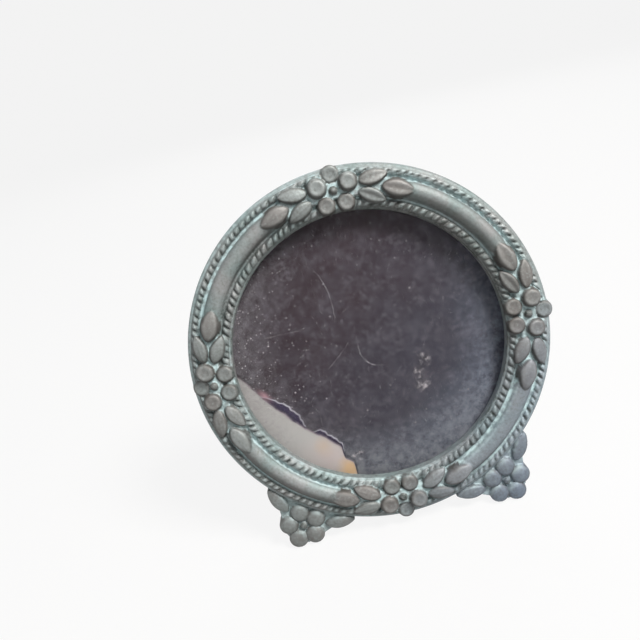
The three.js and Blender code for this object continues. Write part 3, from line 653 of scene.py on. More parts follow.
# Feet: a flower and two leaves on a plate that grows out of the ring, drawn about the foot's bead
foot = {
    "angle": 32.5, "reach": 50.85, "back": 2.4, "plate": 3.4, "petalRing": 3.85, "petalRadius": 2.55,
    "petalRise": 1.3, "petalFlat": 2.1, "shoulder": 0.3, "beadRise": 0.35, "leaf": (8.0, 3.8, 1.5),
    "leafRun": 8.7, "leafSet": 4.35, "leafTilt": 29.6, "fill": 1.36, "gapFill": 5.2, "shoulderFill": 0.7,
    "edge": 0.3, "turns": 320, "step": 0.28, "petalPoints": 48, "leafPoints": 25,
    "chalk": 0.55, "petalChalk": 0.15, "paintedHighlight": 0.5, "lit": (0.35, 0.9), "outline": (0.6, 1.0),
    "shade": 0.3, "skirtShade": 0.4, "beadGrime": 0.45, "beadTop": 0.4,
}


def rayReach(outline, angles):
    # how far a ray from the origin, turned from +z towards +x, runs to the far side of an outline
    a = np.asarray(outline, float)
    b = np.roll(a, -1, 0)
    dx, dz = np.sin(angles)[:, None], np.cos(angles)[:, None]
    ex, ez = (b - a).T
    cross = dx * ez - dz * ex
    cross = np.where(np.abs(cross) < 1e-12, 1e-12, cross)
    reach = (a[:, 0] * ez - a[:, 1] * ex) / cross
    share = (a[:, 0] * dz - a[:, 1] * dx) / cross
    return np.where((share >= 0) & (share <= 1) & (reach > 0), reach, 0).max(1)


def footReach(angles, petals, c, s):
    # outline of a foot: petals, leaves and the plate between them, up to its root in the ring
    circle = clockAngles(foot["petalPoints"])
    size, run, low = foot["petalRadius"], foot["leafRun"], -foot["leafSet"]
    outlines = [np.stack([x + size * np.sin(circle), z + size * np.cos(circle)], 1) for x, z in petals]
    length, width, _ = foot["leaf"]
    share = np.linspace(0, 1, foot["leafPoints"])
    half = leafHalfWidth(share, width)
    along = np.concatenate([share, share[-2:0:-1]]) * length - length / 2
    across = np.concatenate([half, -half[-2:0:-1]])
    for turn in (-1, 1):
        outlines.append(np.stack([turn * (run + along * c + across * s), low - along * s + across * c], 1))
    tipX, tipZ = run + length / 2 * c, low - length / 2 * s
    root, shoulder = edges[5] - foot["reach"], low + foot["shoulderFill"]
    first, second, *_, last = [(x * foot["fill"], z * foot["fill"]) for x, z in petals]
    gapX, gapZ = (foot["gapFill"] * f(math.pi / spray["petals"]) for f in (math.sin, math.cos))
    outlines.append([(-tipX, tipZ), (-run, root), (run, root), (tipX, tipZ), (run, shoulder), second,
                     (gapX, gapZ), first, (-gapX, gapZ), last, (-run, shoulder)])
    return np.max([rayReach(outline, angles) for outline in outlines], 0)


def castFoot(side):
    angles, size = clockAngles(foot["turns"]), foot["petalRadius"]
    petals = [(foot["petalRing"] * math.sin(t), foot["petalRing"] * math.cos(t))
              for t in clockAngles(spray["petals"])]
    petalTones = toneDraws.uniform(0, 1, spray["petals"])
    c, s = (f(math.radians(foot["leafTilt"])) for f in (math.cos, math.sin))
    reach = footReach(angles, petals, c, s)
    front = foot["back"] + foot["plate"]
    stations = np.arange(1, int(reach.max() / foot["step"]) + 2) * foot["step"]
    points = [(0, -front - foot["beadRise"] - spray["beadRadius"], 0)]
    masks, rows = [tuple({**plainMasks, "raised": 1, "grime": foot["beadTop"], "worn": 0}.values())], []
    for angle, end in zip(angles, reach):
        line = np.append(stations[stations < end - foot["step"] / 3], end)
        x, z = line * math.sin(angle), line * math.cos(angle)
        relief = bareRelief(line.shape)
        for (px, pz), ownTone in zip(petals, petalTones):
            away = np.hypot(x - px, z - pz)
            pad = petalHeight(away, size, front + foot["shoulder"], foot["petalRise"], foot["petalFlat"], 0)
            lay(relief, pad, tone=ownTone, toEdge=away / size, upper=(pz - z) / size)
        for turn in (-1, 1):
            ax, az = turn * x - foot["leafRun"], z + foot["leafSet"]
            across = ax * s + az * c
            blade, share = leafHeight(ax * c - az * s, across, foot["leaf"], front, spray["leafDish"])
            lay(relief, blade, toEdge=share, upper=-across / (foot["leaf"][1] / 2))
        lay(relief, beadHeight(line, front + foot["beadRise"]))
        raised, tone = relief["top"], relief["tone"]
        isRaised = smoothStep(*spray["raised"], raised - front)
        rows.append(len(points) + np.arange(len(line)))
        points += list(zip(x, -softMax(front, raised, ring["fillet"]), z))
        # chalk by tone, and a painted highlight on the upper flanks of petals and leaves
        chalkAndHighlight = foot["petalChalk"] * tone + foot["paintedHighlight"] * smoothStep(*foot["lit"], relief["upper"])
        masks += list(zip(isRaised, foot["chalk"] * (1 - isRaised) + chalkAndHighlight * isRaised,
                          foot["beadGrime"] * beadMask(line), 0 * line, foot["shade"] * isRaised, tone,
                          smoothStep(*foot["outline"], relief["toEdge"]) * isRaised))
    faces = fanFaces(0, [row[0] for row in rows])
    for a, b in zip(rows, rows[1:] + rows[:1]):
        last = min(len(a), len(b)) - 1
        faces += [(a[k], a[k + 1], b[k + 1], b[k]) for k in range(last)]
        faces += [(a[k], a[k + 1], b[-1]) for k in range(last, len(a) - 1)]
        faces += [(a[-1], b[k + 1], b[k]) for k in range(last, len(b) - 1)]
    loops = [np.array([row[-1] for row in rows])]
    for inset, level in ((0, foot["back"] + foot["edge"]), (foot["edge"], foot["back"])):
        loops.append(len(points) + np.arange(len(angles)))
        points += list(zip((reach - inset) * np.sin(angles), np.full(len(angles), -level),
                           (reach - inset) * np.cos(angles)))
        masks += [tuple({**plainMasks, "under": foot["skirtShade"]}.values())] * len(angles)
    faces += bandFaces(loops) + fanFaces(len(points), loops[-1])
    points.append((0, -foot["back"], 0))
    masks.append(tuple(plainMasks.values()))
    placed = np.array(points) + (0, 0, foot["reach"])
    return clockwise(placed, math.pi + side * math.radians(foot["angle"])), faces, np.array(masks, float)


print("shaping the casting")
castings = []
for name, (points, faces, masks) in (("cast_frame_pewter", castRing()), ("foot_right", castFoot(-1)),
                                     ("foot_left", castFoot(1))):
    castings.append(solidFrom(name, points, faces))
    paintMasks(castings[-1], pewterMasks, masks)
boss = {"middle": 41.4, "radius": 2.5, "depth": 2.2, "turns": 48}
corners = {name: math.pi * (2 * i + 1) / 4
           for i, name in enumerate(("upper_right", "lower_right", "lower_left", "upper_left"))}
profile = [(0, 0), (boss["radius"], 0), (boss["radius"], -boss["depth"]), (0, -boss["depth"])]
points, faces = revolved(profile, boss["turns"])
for clock in corners.values():
    castings.append(solidFrom("boss", clockwise(points + (0, 0, boss["middle"]), clock), faces))
tableCut = {"size": 0.4}
bpy.ops.mesh.primitive_cube_add(size=tableCut["size"], location=(0, 0, -tableCut["size"] / 2))
table = bpy.context.object
casting = castings[0]
combine(casting, castings[1:], "UNION")
combine(casting, [table], "DIFFERENCE")
print("casting:", len(casting.data.polygons), "faces")


# Cast pewter, toned and rubbed back: satin grey metal, brown-grey on the high spots, with a chalky
# blue-green bloom left in the hollows and near-black dirt in the rope's notches, painted shade on what
# looks down and a painted cool light towards the lower right
def castPewter():
    made, add, mm, given = startMaterial(
        "pewterCastToned", pewterMasks, cloud=(7, 3), patch=(3.2, 4, 0.6), mottle=(1.3, 4),
        grit=(0.7, 5, 0.7), skin=(0.35, 2))
    parts = add("SeparateXYZ", {0: mm})
    across = add("Math", {0: parts.outputs["X"], 1: parts.outputs["Z"]}, operation="SUBTRACT")
    share = {key: add("MapRange", dict(enumerate(row))) for key, row in {
        "toned": (given["cloud"], 0.35, 0.65, 0, 1), "paintedCoolLight": (across, 36, 76, 0, 0.85),
        "pitted": (given["grit"], 0.5, 0.34, 0, 0.45), "flecked": (given["grit"], 0.54, 0.7, 0, 0.45),
        "edged": (given["patch"], 0.4, 0.62, 0.1, 0.75), "broken": (given["mottle"], 0.38, 0.6, 0.25, 1),
        "caked": (given["patch"], 0.42, 0.6, 1, 0.2), "crumbly": (given["grit"], 0.4, 0.6, 1.25, 0.45),
        "rough": (given["skin"], 0, 1, 0.52, 0.70),
    }.items()}
    thick = add("Math", {0: share["caked"], 1: share["crumbly"]}, operation="MULTIPLY")
    coat = {key: add("Math", {0: given[key], 1: by}, operation="MULTIPLY", use_clamp=True) for key, by in (
        ("raised", 0.85), ("worn", 0.2), ("toRim", share["edged"]), ("chalk", share["broken"]),
        ("grime", thick), ("under", 0.62))}
    petal = add("Mix", {0: given["tone"], 6: linear("878d8c"), 7: linear("726c69")}, data_type="RGBA")
    colour = linear("7a8887")
    for amount, over in (
            (share["toned"], linear("8f9090")), (coat["raised"], petal),
            (share["paintedCoolLight"], linear("758295")),  # bluer towards the lower right: a painted cool light
            (share["pitted"], linear("56564f")), (share["flecked"], linear("a3adab")),
            (coat["worn"], linear("b4b5b3")), (coat["toRim"], linear("4d4844")),
            (coat["chalk"], linear("b9ced0")), (coat["grime"], linear("343e3a")),
            # painted shade on what looks down, away from the light
            (coat["under"], linear("403e3b"))):
        colour = add("Mix", {0: amount, 6: colour, 7: over}, data_type="RGBA")
    dull = add("Math", {0: coat["chalk"], 1: coat["grime"]}, operation="ADD", use_clamp=True)
    metal = add("MapRange", {0: dull, 3: 0.6, 4: 0.05})
    rough = add("Math", {0: share["rough"], 1: dull}, operation="MAXIMUM")
    bump = add("Bump", {"Height": given["grit"], "Strength": 0.5, "Distance": 0.00016})
    shader = add("BsdfPrincipled", {"Base Color": colour, "Metallic": metal, "Roughness": rough,
                                    "Normal": bump})
    add("OutputMaterial", {"Surface": shader})
    return made


finishPiece(casting, castPewter(), "pewter", "frame_body", "cast_frame")
print("casting finished")

# Print: dark photographic paper, torn at its lower left. The torn skin leaves a pale wavy line of paper
# core, with a strip of the bruised lower layer between it and the card. Angles are clock degrees.
printSheet = {
    "radius": 37.3, "front": -2.6, "back": -2.4, "tear": (196.8, 274), "fineTurns": 390, "turns": 282,
    "edge": ((196.8, 37.3), (198.2, 32.4), (204.6, 31.2), (206, 28.7), (218, 27.4), (243, 28.7),
             (264, 32.8), (274, 37.3)),
    "soften": 8, "tornFrom": (0, 2.5), "waves": ((17, 0.22), (43, 0.24), (97, 0.14)), "edgeWave": 0.25,
    "humps": ((243, 12.5, 2.4), (214.5, 9.5, 1.6)), "coarse": 7, "band": 4.4, "fine": 27,
    "coreWidth": 0.2, "coreFrom": (0.25, 0.8), "bruise": (-0.1, 0.25), "bruiseFrom": (0.05, 0.3),
    "blush": (256.5, 3.2), "blushInset": 0.9, "curl": 0.12, "curlWidth": 0.7, "fringe": 0.4,
    "sagRun": 0.9, "frontSag": 0.34, "backSag": 0.18,  # the thin torn edge lies on the card
}
printMasks = ("core", "bruise", "blush", "fringe")


def tornPrint():
    full, ends = printSheet["radius"], np.array(printSheet["edge"])
    low, high = (math.radians(a) for a in printSheet["tear"])
    clock = np.concatenate([np.linspace(low, high, printSheet["fineTurns"], endpoint=False),
                            np.linspace(high, low + 2 * math.pi, printSheet["turns"], endpoint=False)])
    degrees = np.degrees(clock)
    reach = 1 / np.interp(degrees, ends[:, 0], 1 / ends[:, 1], left=1 / full, right=1 / full)
    n = printSheet["soften"]
    width = 2 * n + 1
    softened = np.convolve(np.concatenate([reach[-n:], reach, reach[:n]]), np.ones(width) / width, "valid")
    reach = np.where((degrees > printSheet["tear"][0]) & (degrees < printSheet["tear"][1]), softened, reach)
    wave = sum(size * np.sin(rate * clock + rate) for rate, size in printSheet["waves"])
    torn = smoothStep(*printSheet["tornFrom"], full - reach)
    reach = np.minimum(reach + printSheet["edgeWave"] * wave * torn, full)
    core = sum(size * np.exp(-((degrees - at) / spread) ** 6) for at, spread, size in printSheet["humps"])
    coreAt = reach - core - wave * torn
    shares = np.concatenate([np.linspace(0, 1, printSheet["coarse"], endpoint=False)[1:],
                             1 + np.linspace(0, 1, printSheet["fine"])])
    inner = (reach - printSheet["band"])[:, None]
    radius = np.where(shares <= 1, shares * inner, inner + (shares - 1) * printSheet["band"])
    clocks = np.repeat(clock[:, None], len(shares), 1)
    past, inset, tornHere = radius - coreAt[:, None], reach[:, None] - radius, torn[:, None]
    strong = tornHere * smoothStep(*printSheet["coreFrom"], core)[:, None]
    line, lifted = (np.exp(-(past / printSheet[key]) ** 2) * strong for key in ("coreWidth", "curlWidth"))
    fringe, sag = (np.exp(-(inset / printSheet[key]) ** 2) * tornHere for key in ("fringe", "sagRun"))
    bruise = smoothStep(*printSheet["bruise"], past) * tornHere
    bruise *= smoothStep(*printSheet["bruiseFrom"], core)[:, None]
    at, spread = printSheet["blush"]
    blushOut = (inset - printSheet["blushInset"]) / printSheet["blushInset"]
    blush = np.exp(-((np.degrees(clocks) - at) / spread) ** 2 - blushOut ** 2)
    level = printSheet["front"] + printSheet["frontSag"] * sag - printSheet["curl"] * lifted
    front = np.stack([radius * np.sin(clocks), level, radius * np.cos(clocks)], 2).reshape(-1, 3)
    under = printSheet["back"] + printSheet["backSag"] * torn
    rim = np.stack([reach * np.sin(clock), under, reach * np.cos(clock)], 1)
    middles = [(0, printSheet["front"], 0), (0, printSheet["back"], 0)]
    columns = np.arange(len(front)).reshape(radius.shape).T
    edge = len(front) + np.arange(len(rim))
    middle = len(front) + len(rim)
    faces = bandFaces([*columns, edge]) + fanFaces(middle, columns[0]) + fanFaces(middle + 1, edge[::-1])
    masks = np.stack([line, bruise, blush, fringe], 2).reshape(-1, len(printMasks))
    cutEdge = np.stack([0 * torn, 0 * torn, 0 * torn, torn], 1)
    masks = np.concatenate([masks, cutEdge, np.zeros((len(middles), len(printMasks)))])
    return np.concatenate([front, rim, middles]), faces, masks


# Glossy photographic paper, nearly black: plum on the left, slate towards the lower right, where it faded,
# with lint, and dust that crept in round the edge: grey on the left, bluish on the right, more below
def photoPaper():
    made, add, mm, given = startMaterial("photoPaperGlossy", printMasks, cloud=(9, 4), haze=(4.5, 7, 0.68),
                                         lint=(1.8, 7, 0.72))
    parts = add("SeparateXYZ", {0: mm})
    x, z = parts.outputs["X"], parts.outputs["Z"]
    across = add("Math", {0: x, 1: z}, operation="SUBTRACT")
    drift = add("Math", {0: given["cloud"], 1: 40, 2: across}, operation="MULTIPLY_ADD")
    fromMiddle = add("VectorMath", {0: mm}, operation="LENGTH")
    share = {key: add("MapRange", dict(enumerate(row))) for key, row in {
        "faded": (drift, -5, 65, 0, 1), "hazed": (given["haze"], 0.42, 0.68, 0, 0.4),
        "linty": (given["lint"], 0.5, 0.75, 0, 0.75), "piled": (given["lint"], 0.36, 0.66, 0.12, 1),
        "edge": (fromMiddle, 21, 33, 0, 1), "left": (x, -8, -32, 0, 0.7), "right": (across, 0, 44, 0, 0.9),
        "bottom": (z, -12, -34, 0, 0.85), "frayed": (given["haze"], 0.38, 0.58, 0.4, 1),
        "furred": (given["haze"], 0.36, 0.56, 0.25, 1), "rough": (given["core"], 0, 1, 0.35, 0.9),
    }.items()}
    crept = add("Math", {0: share["edge"], 1: share["piled"]}, operation="MULTIPLY")
    coat = {key: add("Math", {0: amount, 1: by}, operation="MULTIPLY") for key, amount, by in (
        ("left", share["left"], crept), ("right", share["right"], crept),
        ("bottom", share["bottom"], crept), ("core", given["core"], share["frayed"]),
        ("fringe", given["fringe"], share["furred"]))}
    colour = linear("392f34")
    for amount, code in (
            (share["faded"], "41434e"), (share["hazed"], "5c565e"), (share["linty"], "655f67"),
            (coat["left"], "7f7b80"), (coat["right"], "7d8392"), (coat["bottom"], "807f82"),
            (given["bruise"], "443c52"), (given["blush"], "b98f98"), (coat["core"], "c4bfca"),
            (coat["fringe"], "b3a3ab")):
        colour = add("Mix", {0: amount, 6: colour, 7: linear(code)}, data_type="RGBA")
    shader = add("BsdfPrincipled", {"Base Color": colour, "Roughness": share["rough"],
                                    "Specular IOR Level": 0.08})
    add("OutputMaterial", {"Surface": shader})
    return made


points, faces, masks = tornPrint()
paper = meshFrom("picture_print_torn", leaned(points), faces)
paintMasks(paper, printMasks, masks)
sharpen(paper)
finishPiece(paper, photoPaper(), "print", "frame_body", "picture_print")
print("print torn:", len(paper.data.polygons), "faces")

# Backing card, with an old rust-coloured stain at the bottom and a pink edge of dye. A blot is its place,
# spread, colour and strength.
cardStains = {
    "front": -2.2, "fade": (0.75, -0.3),
    "blots": ((-15.5, -28.0, 7.5, "c2aeac", 0.6), (-17.4, -24.2, 2.6, "c2a68c", 0.5),
              (-12.2, -31.9, 3.4, "d4ae84", 0.9)),
}


# Uncoated card: matt, pale and fibrous, greyer towards the left
def uncoatedCard():
    made, add, mm, given = startMaterial("cardUncoated", fibre=(0.5, 4), blotch=(4, 3))
    parts = add("SeparateXYZ", {0: mm})
    faded = add("MapRange", {0: parts.outputs["X"], 1: -33, 2: -14})
    layers = [(faded, "bfbab7"), (given["fibre"], "b2adab")]
    outside, inside = cardStains["fade"]
    for x, z, spread, code, most in cardStains["blots"]:
        away = add("VectorMath", {0: mm, 1: (x, cardStains["front"], z)}, operation="DISTANCE")
        ragged = add("Math", {0: given["blotch"], 1: -spread, 2: away}, operation="MULTIPLY_ADD")
        stained = add("MapRange", {0: ragged, 1: spread * outside, 2: spread * inside, 4: most})
        layers.append((stained, code))
    colour = linear("9c9696")
    for amount, code in layers:
        colour = add("Mix", {0: amount, 6: colour, 7: linear(code)}, data_type="RGBA")
    bump = add("Bump", {"Height": given["fibre"], "Strength": 0.3, "Distance": 0.00005})
    shader = add("BsdfPrincipled", {"Base Color": colour, "Roughness": 0.9, "Normal": bump})
    add("OutputMaterial", {"Surface": shader})
    return made


# Dust on the glass: a thin film with specks, thickest along the edge and to the left, wiped off over the
# card. Finger wipes are (x, z, spread); scratches are a circle's centre and radius, the middle of the
# stretch that is drawn, its half length and strength. Specks are (cell, size, strength), drawn coarse.
dust = {
    "film": 0.02, "edge": (26, 35), "edgeFilm": 0.02, "left": (-22, -34), "leftFilm": 0.09, "drift": 3.4,
    "driftLimits": (-8, -31), "cleanOver": (-40, -34), "emptyCells": 0.25,
    "specks": ((0.6, 0.38, 0.24), (1.9, 0.15, 0.5), (6.5, 0.06, 0.8)),
    "scratches": (
        (3.3, 0.2, 5.65, -0.8, -2.6, 5.5, 0.78), (-27.5, 12.5, 21.2, -6.4, 15.0, 8.5, 0.52),
        (-40.0, 37.0, 49.5, -7.6, -0.8, 5.0, 0.468), (-21.5, -60.0, 68.4, -20.5, 8.2, 7.0, 0.364),
    ),
    "scratchWidth": 0.17, "scratchFull": 0.6, "scratchShake": (0.5, 0, 0.5),
    "wipes": ((13.2, -6.4, 2.1), (11.2, -9.6, 2.0), (11.4, -12.8, 2.4), (-9.1, -28.0, 2.2),
              (-11.2, 13.2, 0.45)),
    "wipeFull": 0.2, "wipeShake": (1.6, 0, 3.0), "wipeStrength": 0.75,
}


# Clear float glass under house dust: it mirrors a little at a slant, from its outside faces alone, and the
# dust scatters light
def dustyGlass():
    made, add, mm, given = startMaterial("floatGlassDusty", cloud=(6, 6, 0.62), grit=(1.4, 3),
                                         wobble=(1.2, 2))
    parts = add("SeparateXYZ", {0: mm})
    x, z = parts.outputs["X"], parts.outputs["Z"]
    onFace = add("CombineXYZ", {0: x, 2: z})
    fromMiddle = add("VectorMath", {0: onFace}, operation="LENGTH")
    diagonal = add("Math", {0: x, 1: z}, operation="ADD")
    share = {key: add("MapRange", dict(enumerate(row))) for key, row in {
        "film": (given["cloud"], 0.3, 0.7, 0, dust["film"]), "patchy": (given["grit"], 0.45, 0.7, 0.1, 1.4),
        "edge": (fromMiddle, *dust["edge"], 0, dust["edgeFilm"]),
        "left": (x, *dust["left"], 0, dust["leftFilm"]), "overPrint": (diagonal, *dust["cleanOver"], 0, 1),
        "drifted": (x, *dust["driftLimits"], 1, dust["drift"]),
        "skipped": (given["grit"], 0.42, 0.6, 0.15, 1),
    }.items()}
    piled = add("Math", {0: share["edge"], 1: share["left"]}, operation="ADD")
    strewn = add("Math", {0: share["overPrint"], 1: share["drifted"]}, operation="MULTIPLY")
    added = [(piled, share["patchy"])]  # each pair is multiplied and added to the film
    for cell, size, most in dust["specks"]:
        near = add("TexVoronoi", {"Vector": onFace, "Scale": 1 / cell})
        chance = add("SeparateXYZ", {0: near.outputs["Color"]})
        reach = add("MapRange", {0: chance.outputs["X"], 1: dust["emptyCells"], 4: size})
        speck = add("Math", {0: near, 1: reach}, operation="LESS_THAN")
        shown = add("Math", {0: speck, 1: chance.outputs["Y"]}, operation="MULTIPLY")
        added.append((add("Math", {0: shown, 1: strewn}, operation="MULTIPLY"), most))
    shake = given["wobble"].outputs["Color"]
    shaken, smeared = (add("VectorMath", {0: shake, 1: dust[key], 2: onFace}, operation="MULTIPLY_ADD")
                       for key in ("scratchShake", "wipeShake"))
    for centreX, centreZ, radius, middleX, middleZ, half, most in dust["scratches"]:
        away = add("VectorMath", {0: shaken, 1: (centreX, 0, centreZ)}, operation="DISTANCE")
        off = add("Math", {0: away, 1: radius}, operation="SUBTRACT")
        gap = add("Math", {0: off}, operation="ABSOLUTE")
        line = add("MapRange", {0: gap, 1: dust["scratchWidth"], 2: 0, 4: most})
        middle = add("VectorMath", {0: onFace, 1: (middleX, 0, middleZ)}, operation="DISTANCE")
        kept = add("MapRange", {0: middle, 1: half, 2: half * dust["scratchFull"]})
        added.append((line, add("Math", {0: kept, 1: share["skipped"]}, operation="MULTIPLY")))
    shiftX, _, shiftZ = (v / 2 for v in dust["wipeShake"])
    for wipeX, wipeZ, spread in dust["wipes"]:
        place = (wipeX + shiftX, 0, wipeZ + shiftZ)
        away = add("VectorMath", {0: smeared, 1: place}, operation="DISTANCE")
        blot = add("MapRange", {0: away, 1: spread, 2: spread * dust["wipeFull"], 4: dust["wipeStrength"]})
        added.append((blot, share["patchy"]))
    total = share["film"]
    for amount, by in added:
        total = add("Math", {0: amount, 1: by, 2: total}, operation="MULTIPLY_ADD")
    clear = add("BsdfTransparent", {"Color": linear("fdfefe")})
    gloss = add("BsdfGlossy", {"Color": linear("ffffff"), "Roughness": 0.12})
    slant = add("Fresnel", {"IOR": 1.16})
    inwards = add("NewGeometry", {}).outputs["Backfacing"]
    outside = add("Math", {0: 1.0, 1: inwards}, operation="SUBTRACT")
    mirrored = add("Math", {0: slant, 1: outside}, operation="MULTIPLY")
    sheen = add("MixShader", {0: mirrored, 1: clear, 2: gloss})
    scatter = add("BsdfDiffuse", {"Color": linear("a8a3a7")})
    lying = add("Math", {0: total, 1: outside}, operation="MULTIPLY", use_clamp=True)
    shader = add("MixShader", {0: lying, 1: sheen, 2: scatter})
    add("OutputMaterial", {"Surface": shader})
    return made


for name, material, slotName in (("glass_disc", dustyGlass(), "glazing"),
                                 ("backing_card", uncoatedCard(), "card")):
    solid = frame["nodes"][name]
    solid.data.materials.clear()
    solid.data.materials.append(material)
print("glass and card dressed")


# Cotton flock on board: short upright fibres, black at the base with a grey sheen where they lean, and
# lighter patches of painted sheen where the nap lies another way
def darkFlock():
    made, add, mm, given = startMaterial("flockCottonDark", nap=(11, 3, 0.5, 0.6), tuft=(0.4, 4))
    paintedNapSheen = add("MapRange", {0: given["nap"], 1: 0.4, 2: 0.62})
    fibres = add("MapRange", {0: given["tuft"], 1: 0.5, 2: 0.72, 4: 0.6})
    colour = linear("1a181b")
    for amount, code in ((paintedNapSheen, "29262b"), (fibres, "403c42")):
        colour = add("Mix", {0: amount, 6: colour, 7: linear(code)}, data_type="RGBA")
    bump = add("Bump", {"Height": given["tuft"], "Strength": 0.7, "Distance": 0.0002})
    shader = add("BsdfPrincipled", {
        "Base Color": colour, "Roughness": 0.95, "Specular IOR Level": 0.1, "Sheen Weight": 0.35,
        "Sheen Roughness": 0.5, "Sheen Tint": linear("a9a4ad"), "Normal": bump})
    add("OutputMaterial", {"Surface": shader})
    return made


# Zinc-plated sheet steel, stamped: bright, slightly blotched grey with rolling lines across the sheet
def platedSteel():
    made, add, mm, given = startMaterial("steelZincPlated", blotch=(2.2, 3))
    stretch = add("VectorMath", {0: mm, 1: (0.12, 1, 1)}, operation="MULTIPLY")
    rolled = add("TexNoise", {"Vector": stretch, "Scale": 1 / 0.3, "Detail": 2})
    colour = add("Mix", {0: given["blotch"], 6: linear("8f8f8c"), 7: linear("b5b5b0")}, data_type="RGBA")
    rough = add("MapRange", {0: rolled, 1: 0.3, 2: 0.7, 3: 0.28, 4: 0.48})
    bump = add("Bump", {"Height": rolled, "Strength": 0.15, "Distance": 0.00003})
    shader = add("BsdfPrincipled", {"Base Color": colour, "Metallic": 1.0, "Roughness": rough,
                                    "Normal": bump})
    add("OutputMaterial", {"Surface": shader})
    return made


flock, steel = (darkFlock(), "flock"), (platedSteel(), "steel")


def fit(node, how, body, dressing, rides="frame_body", place=np.asarray, edge=0, steps=2, cut=None):
    # makes a piece of the back, with a slot cut in it or its edges rounded, and puts it where it belongs
    points, faces = body
    made = solidFrom(node + "_" + how, place(points), faces)
    if cut:
        combine(made, [solidFrom("slot", place(cut[0]), cut[1])], "DIFFERENCE")
    if edge:
        roundEdges(made, edge, steps)
    sharpen(made)
    finishPiece(made, *dressing, rides, node)


def quarterRound(radius, top, edge, steps=6):
    # (radius, y) pairs over a rounded edge, from its side to its top
    return [(radius - edge * (1 - math.cos(t)), top - edge * (1 - math.sin(t)))
            for t in np.linspace(0, math.pi / 2, steps)]


def domed(radius, rise, seat, steps=7):
    # (radius, y) pairs from the rim at y = seat up to a round top
    bend = np.linspace(0, math.pi / 2, steps)[:-1]
    return [(radius * math.cos(t), seat + rise * math.sin(t)) for t in bend] + [(0, seat + rise)]


# Back board: a round of board with its flock rolled over the edge
board = {"radius": 37.3, "front": -1.5, "back": 0.0, "edge": 0.45, "turns": 240, "flatAt": (0.85, 0.5, 0)}
profile = [(0, board["front"]), (board["radius"], board["front"])]
profile += quarterRound(board["radius"], board["back"], board["edge"])
profile += [(board["radius"] * share, board["back"]) for share in board["flatAt"]]
fit("back_board", "flocked", revolved(profile, board["turns"]), flock)

# Easel hinge and leg, drawn about the hinge pin; the leg hangs from it opened against its stop. A rivet's
# pair is its seat and its tip.
hinge = {
    "place": (0, 1.65, 12.0), "open": 28.0, "barrel": 1.45, "bore": 0.95, "sheet": 0.5, "gap": 0.3,
    "lap": 0.2, "turns": 48, "plateWidth": 15.0, "plateTop": 11.0, "leafWidth": 11.0, "leafEnd": 11.0,
    "middle": 6.0, "side": 4.2, "sideAt": 5.4, "tail": 3.17, "corner": 2.4, "edge": 0.13,
    "pinRadius": 0.7, "pinHalf": 7.8, "pinHead": (1.15, 0.6), "pinTurns": 32, "rivetAt": 3.6,
    "rivetFrom": 7.0, "rivetHead": (1.3, 0.5), "rivetShank": 0.7, "plateRivet": (-0.75, -3.15),
    "leafRivet": (1.65, -1.05),
}
leg = {"front": -1.05, "back": 0.75, "top": 1.85, "endFront": 58.44, "endBack": 58.88, "topHalf": 7.0,
       "endHalf": 12.5, "corner": 2.0, "edge": 0.4, "edgeSteps": 4}


def atHinge(points):
    return np.asarray(points, float) + hinge["place"]


def onLeg(points):
    x, y, z = np.asarray(points, float).T
    c, s = math.cos(math.radians(hinge["open"])), math.sin(math.radians(hinge["open"]))
    return atHinge(np.stack([x, y * c - z * s, y * s + z * c], 1))


def knuckle(middle, length):
    tube = [(hinge[key], end * length / 2)
            for key, end in (("barrel", -1), ("barrel", 1), ("bore", 1), ("bore", -1))]
    points, faces = alongX(revolved(tube, hinge["turns"], closed=True))
    return points + (middle, 0, 0), faces


barrel, sheet, bend = hinge["barrel"], hinge["sheet"], hinge["corner"]
foldLine = barrel + hinge["gap"]
half, high = hinge["plateWidth"] / 2, hinge["plateTop"]
outline = roundedOutline([(-half, foldLine, 0), (half, foldLine, 0), (half, high, bend),
                          (-half, high, bend)])
bodies = [slabBetween(outline, -barrel, sheet - barrel)]
for at in (-hinge["sideAt"], hinge["sideAt"]):
    web = rectangle(at, hinge["side"], 0, foldLine + hinge["lap"])
    bodies += [knuckle(at, hinge["side"]), slabBetween(web, -barrel, sheet - barrel)]
fit("hinge_plate", "stamped", joined(*bodies), steel, place=atHinge, edge=hinge["edge"])

half, low = hinge["leafWidth"] / 2, -hinge["leafEnd"]
outline = roundedOutline([(-half, -foldLine, 0), (-half, low, bend), (half, low, bend),
                          (half, -foldLine, 0)])
web = rectangle(0, hinge["middle"], -foldLine - hinge["lap"], hinge["tail"])
bodies = [slabBetween(shape, barrel - sheet, barrel) for shape in (outline, web)]
bodies.append(knuckle(0, hinge["middle"]))
fit("hinge_leaf", "stamped", joined(*bodies), steel, "leg", onLeg, hinge["edge"])

pinSide = [(hinge["pinRadius"], hinge["pinHalf"])] + domed(*hinge["pinHead"], hinge["pinHalf"])
pinProfile = [(r, -y) for r, y in reversed(pinSide)] + pinSide
fit("hinge_pin", "headed", alongX(revolved(pinProfile, hinge["pinTurns"])), steel, place=atHinge)

for side, word in ((-1, "left"), (1, "right")):
    for kind, place, rides, at in (("plate", atHinge, "frame_body", hinge["rivetFrom"]),
                                   ("leaf", onLeg, "leg", -hinge["rivetFrom"])):
        seat, tip = hinge[kind + "Rivet"]
        profile = [(0, tip), (hinge["rivetShank"], tip), (hinge["rivetShank"], seat)]
        points, faces = revolved(profile + domed(*hinge["rivetHead"], seat), hinge["pinTurns"])
        points += (side * hinge["rivetAt"], 0, at)
        fit(kind + "_rivet_" + word, "domed", (points, faces), steel, rides, place)

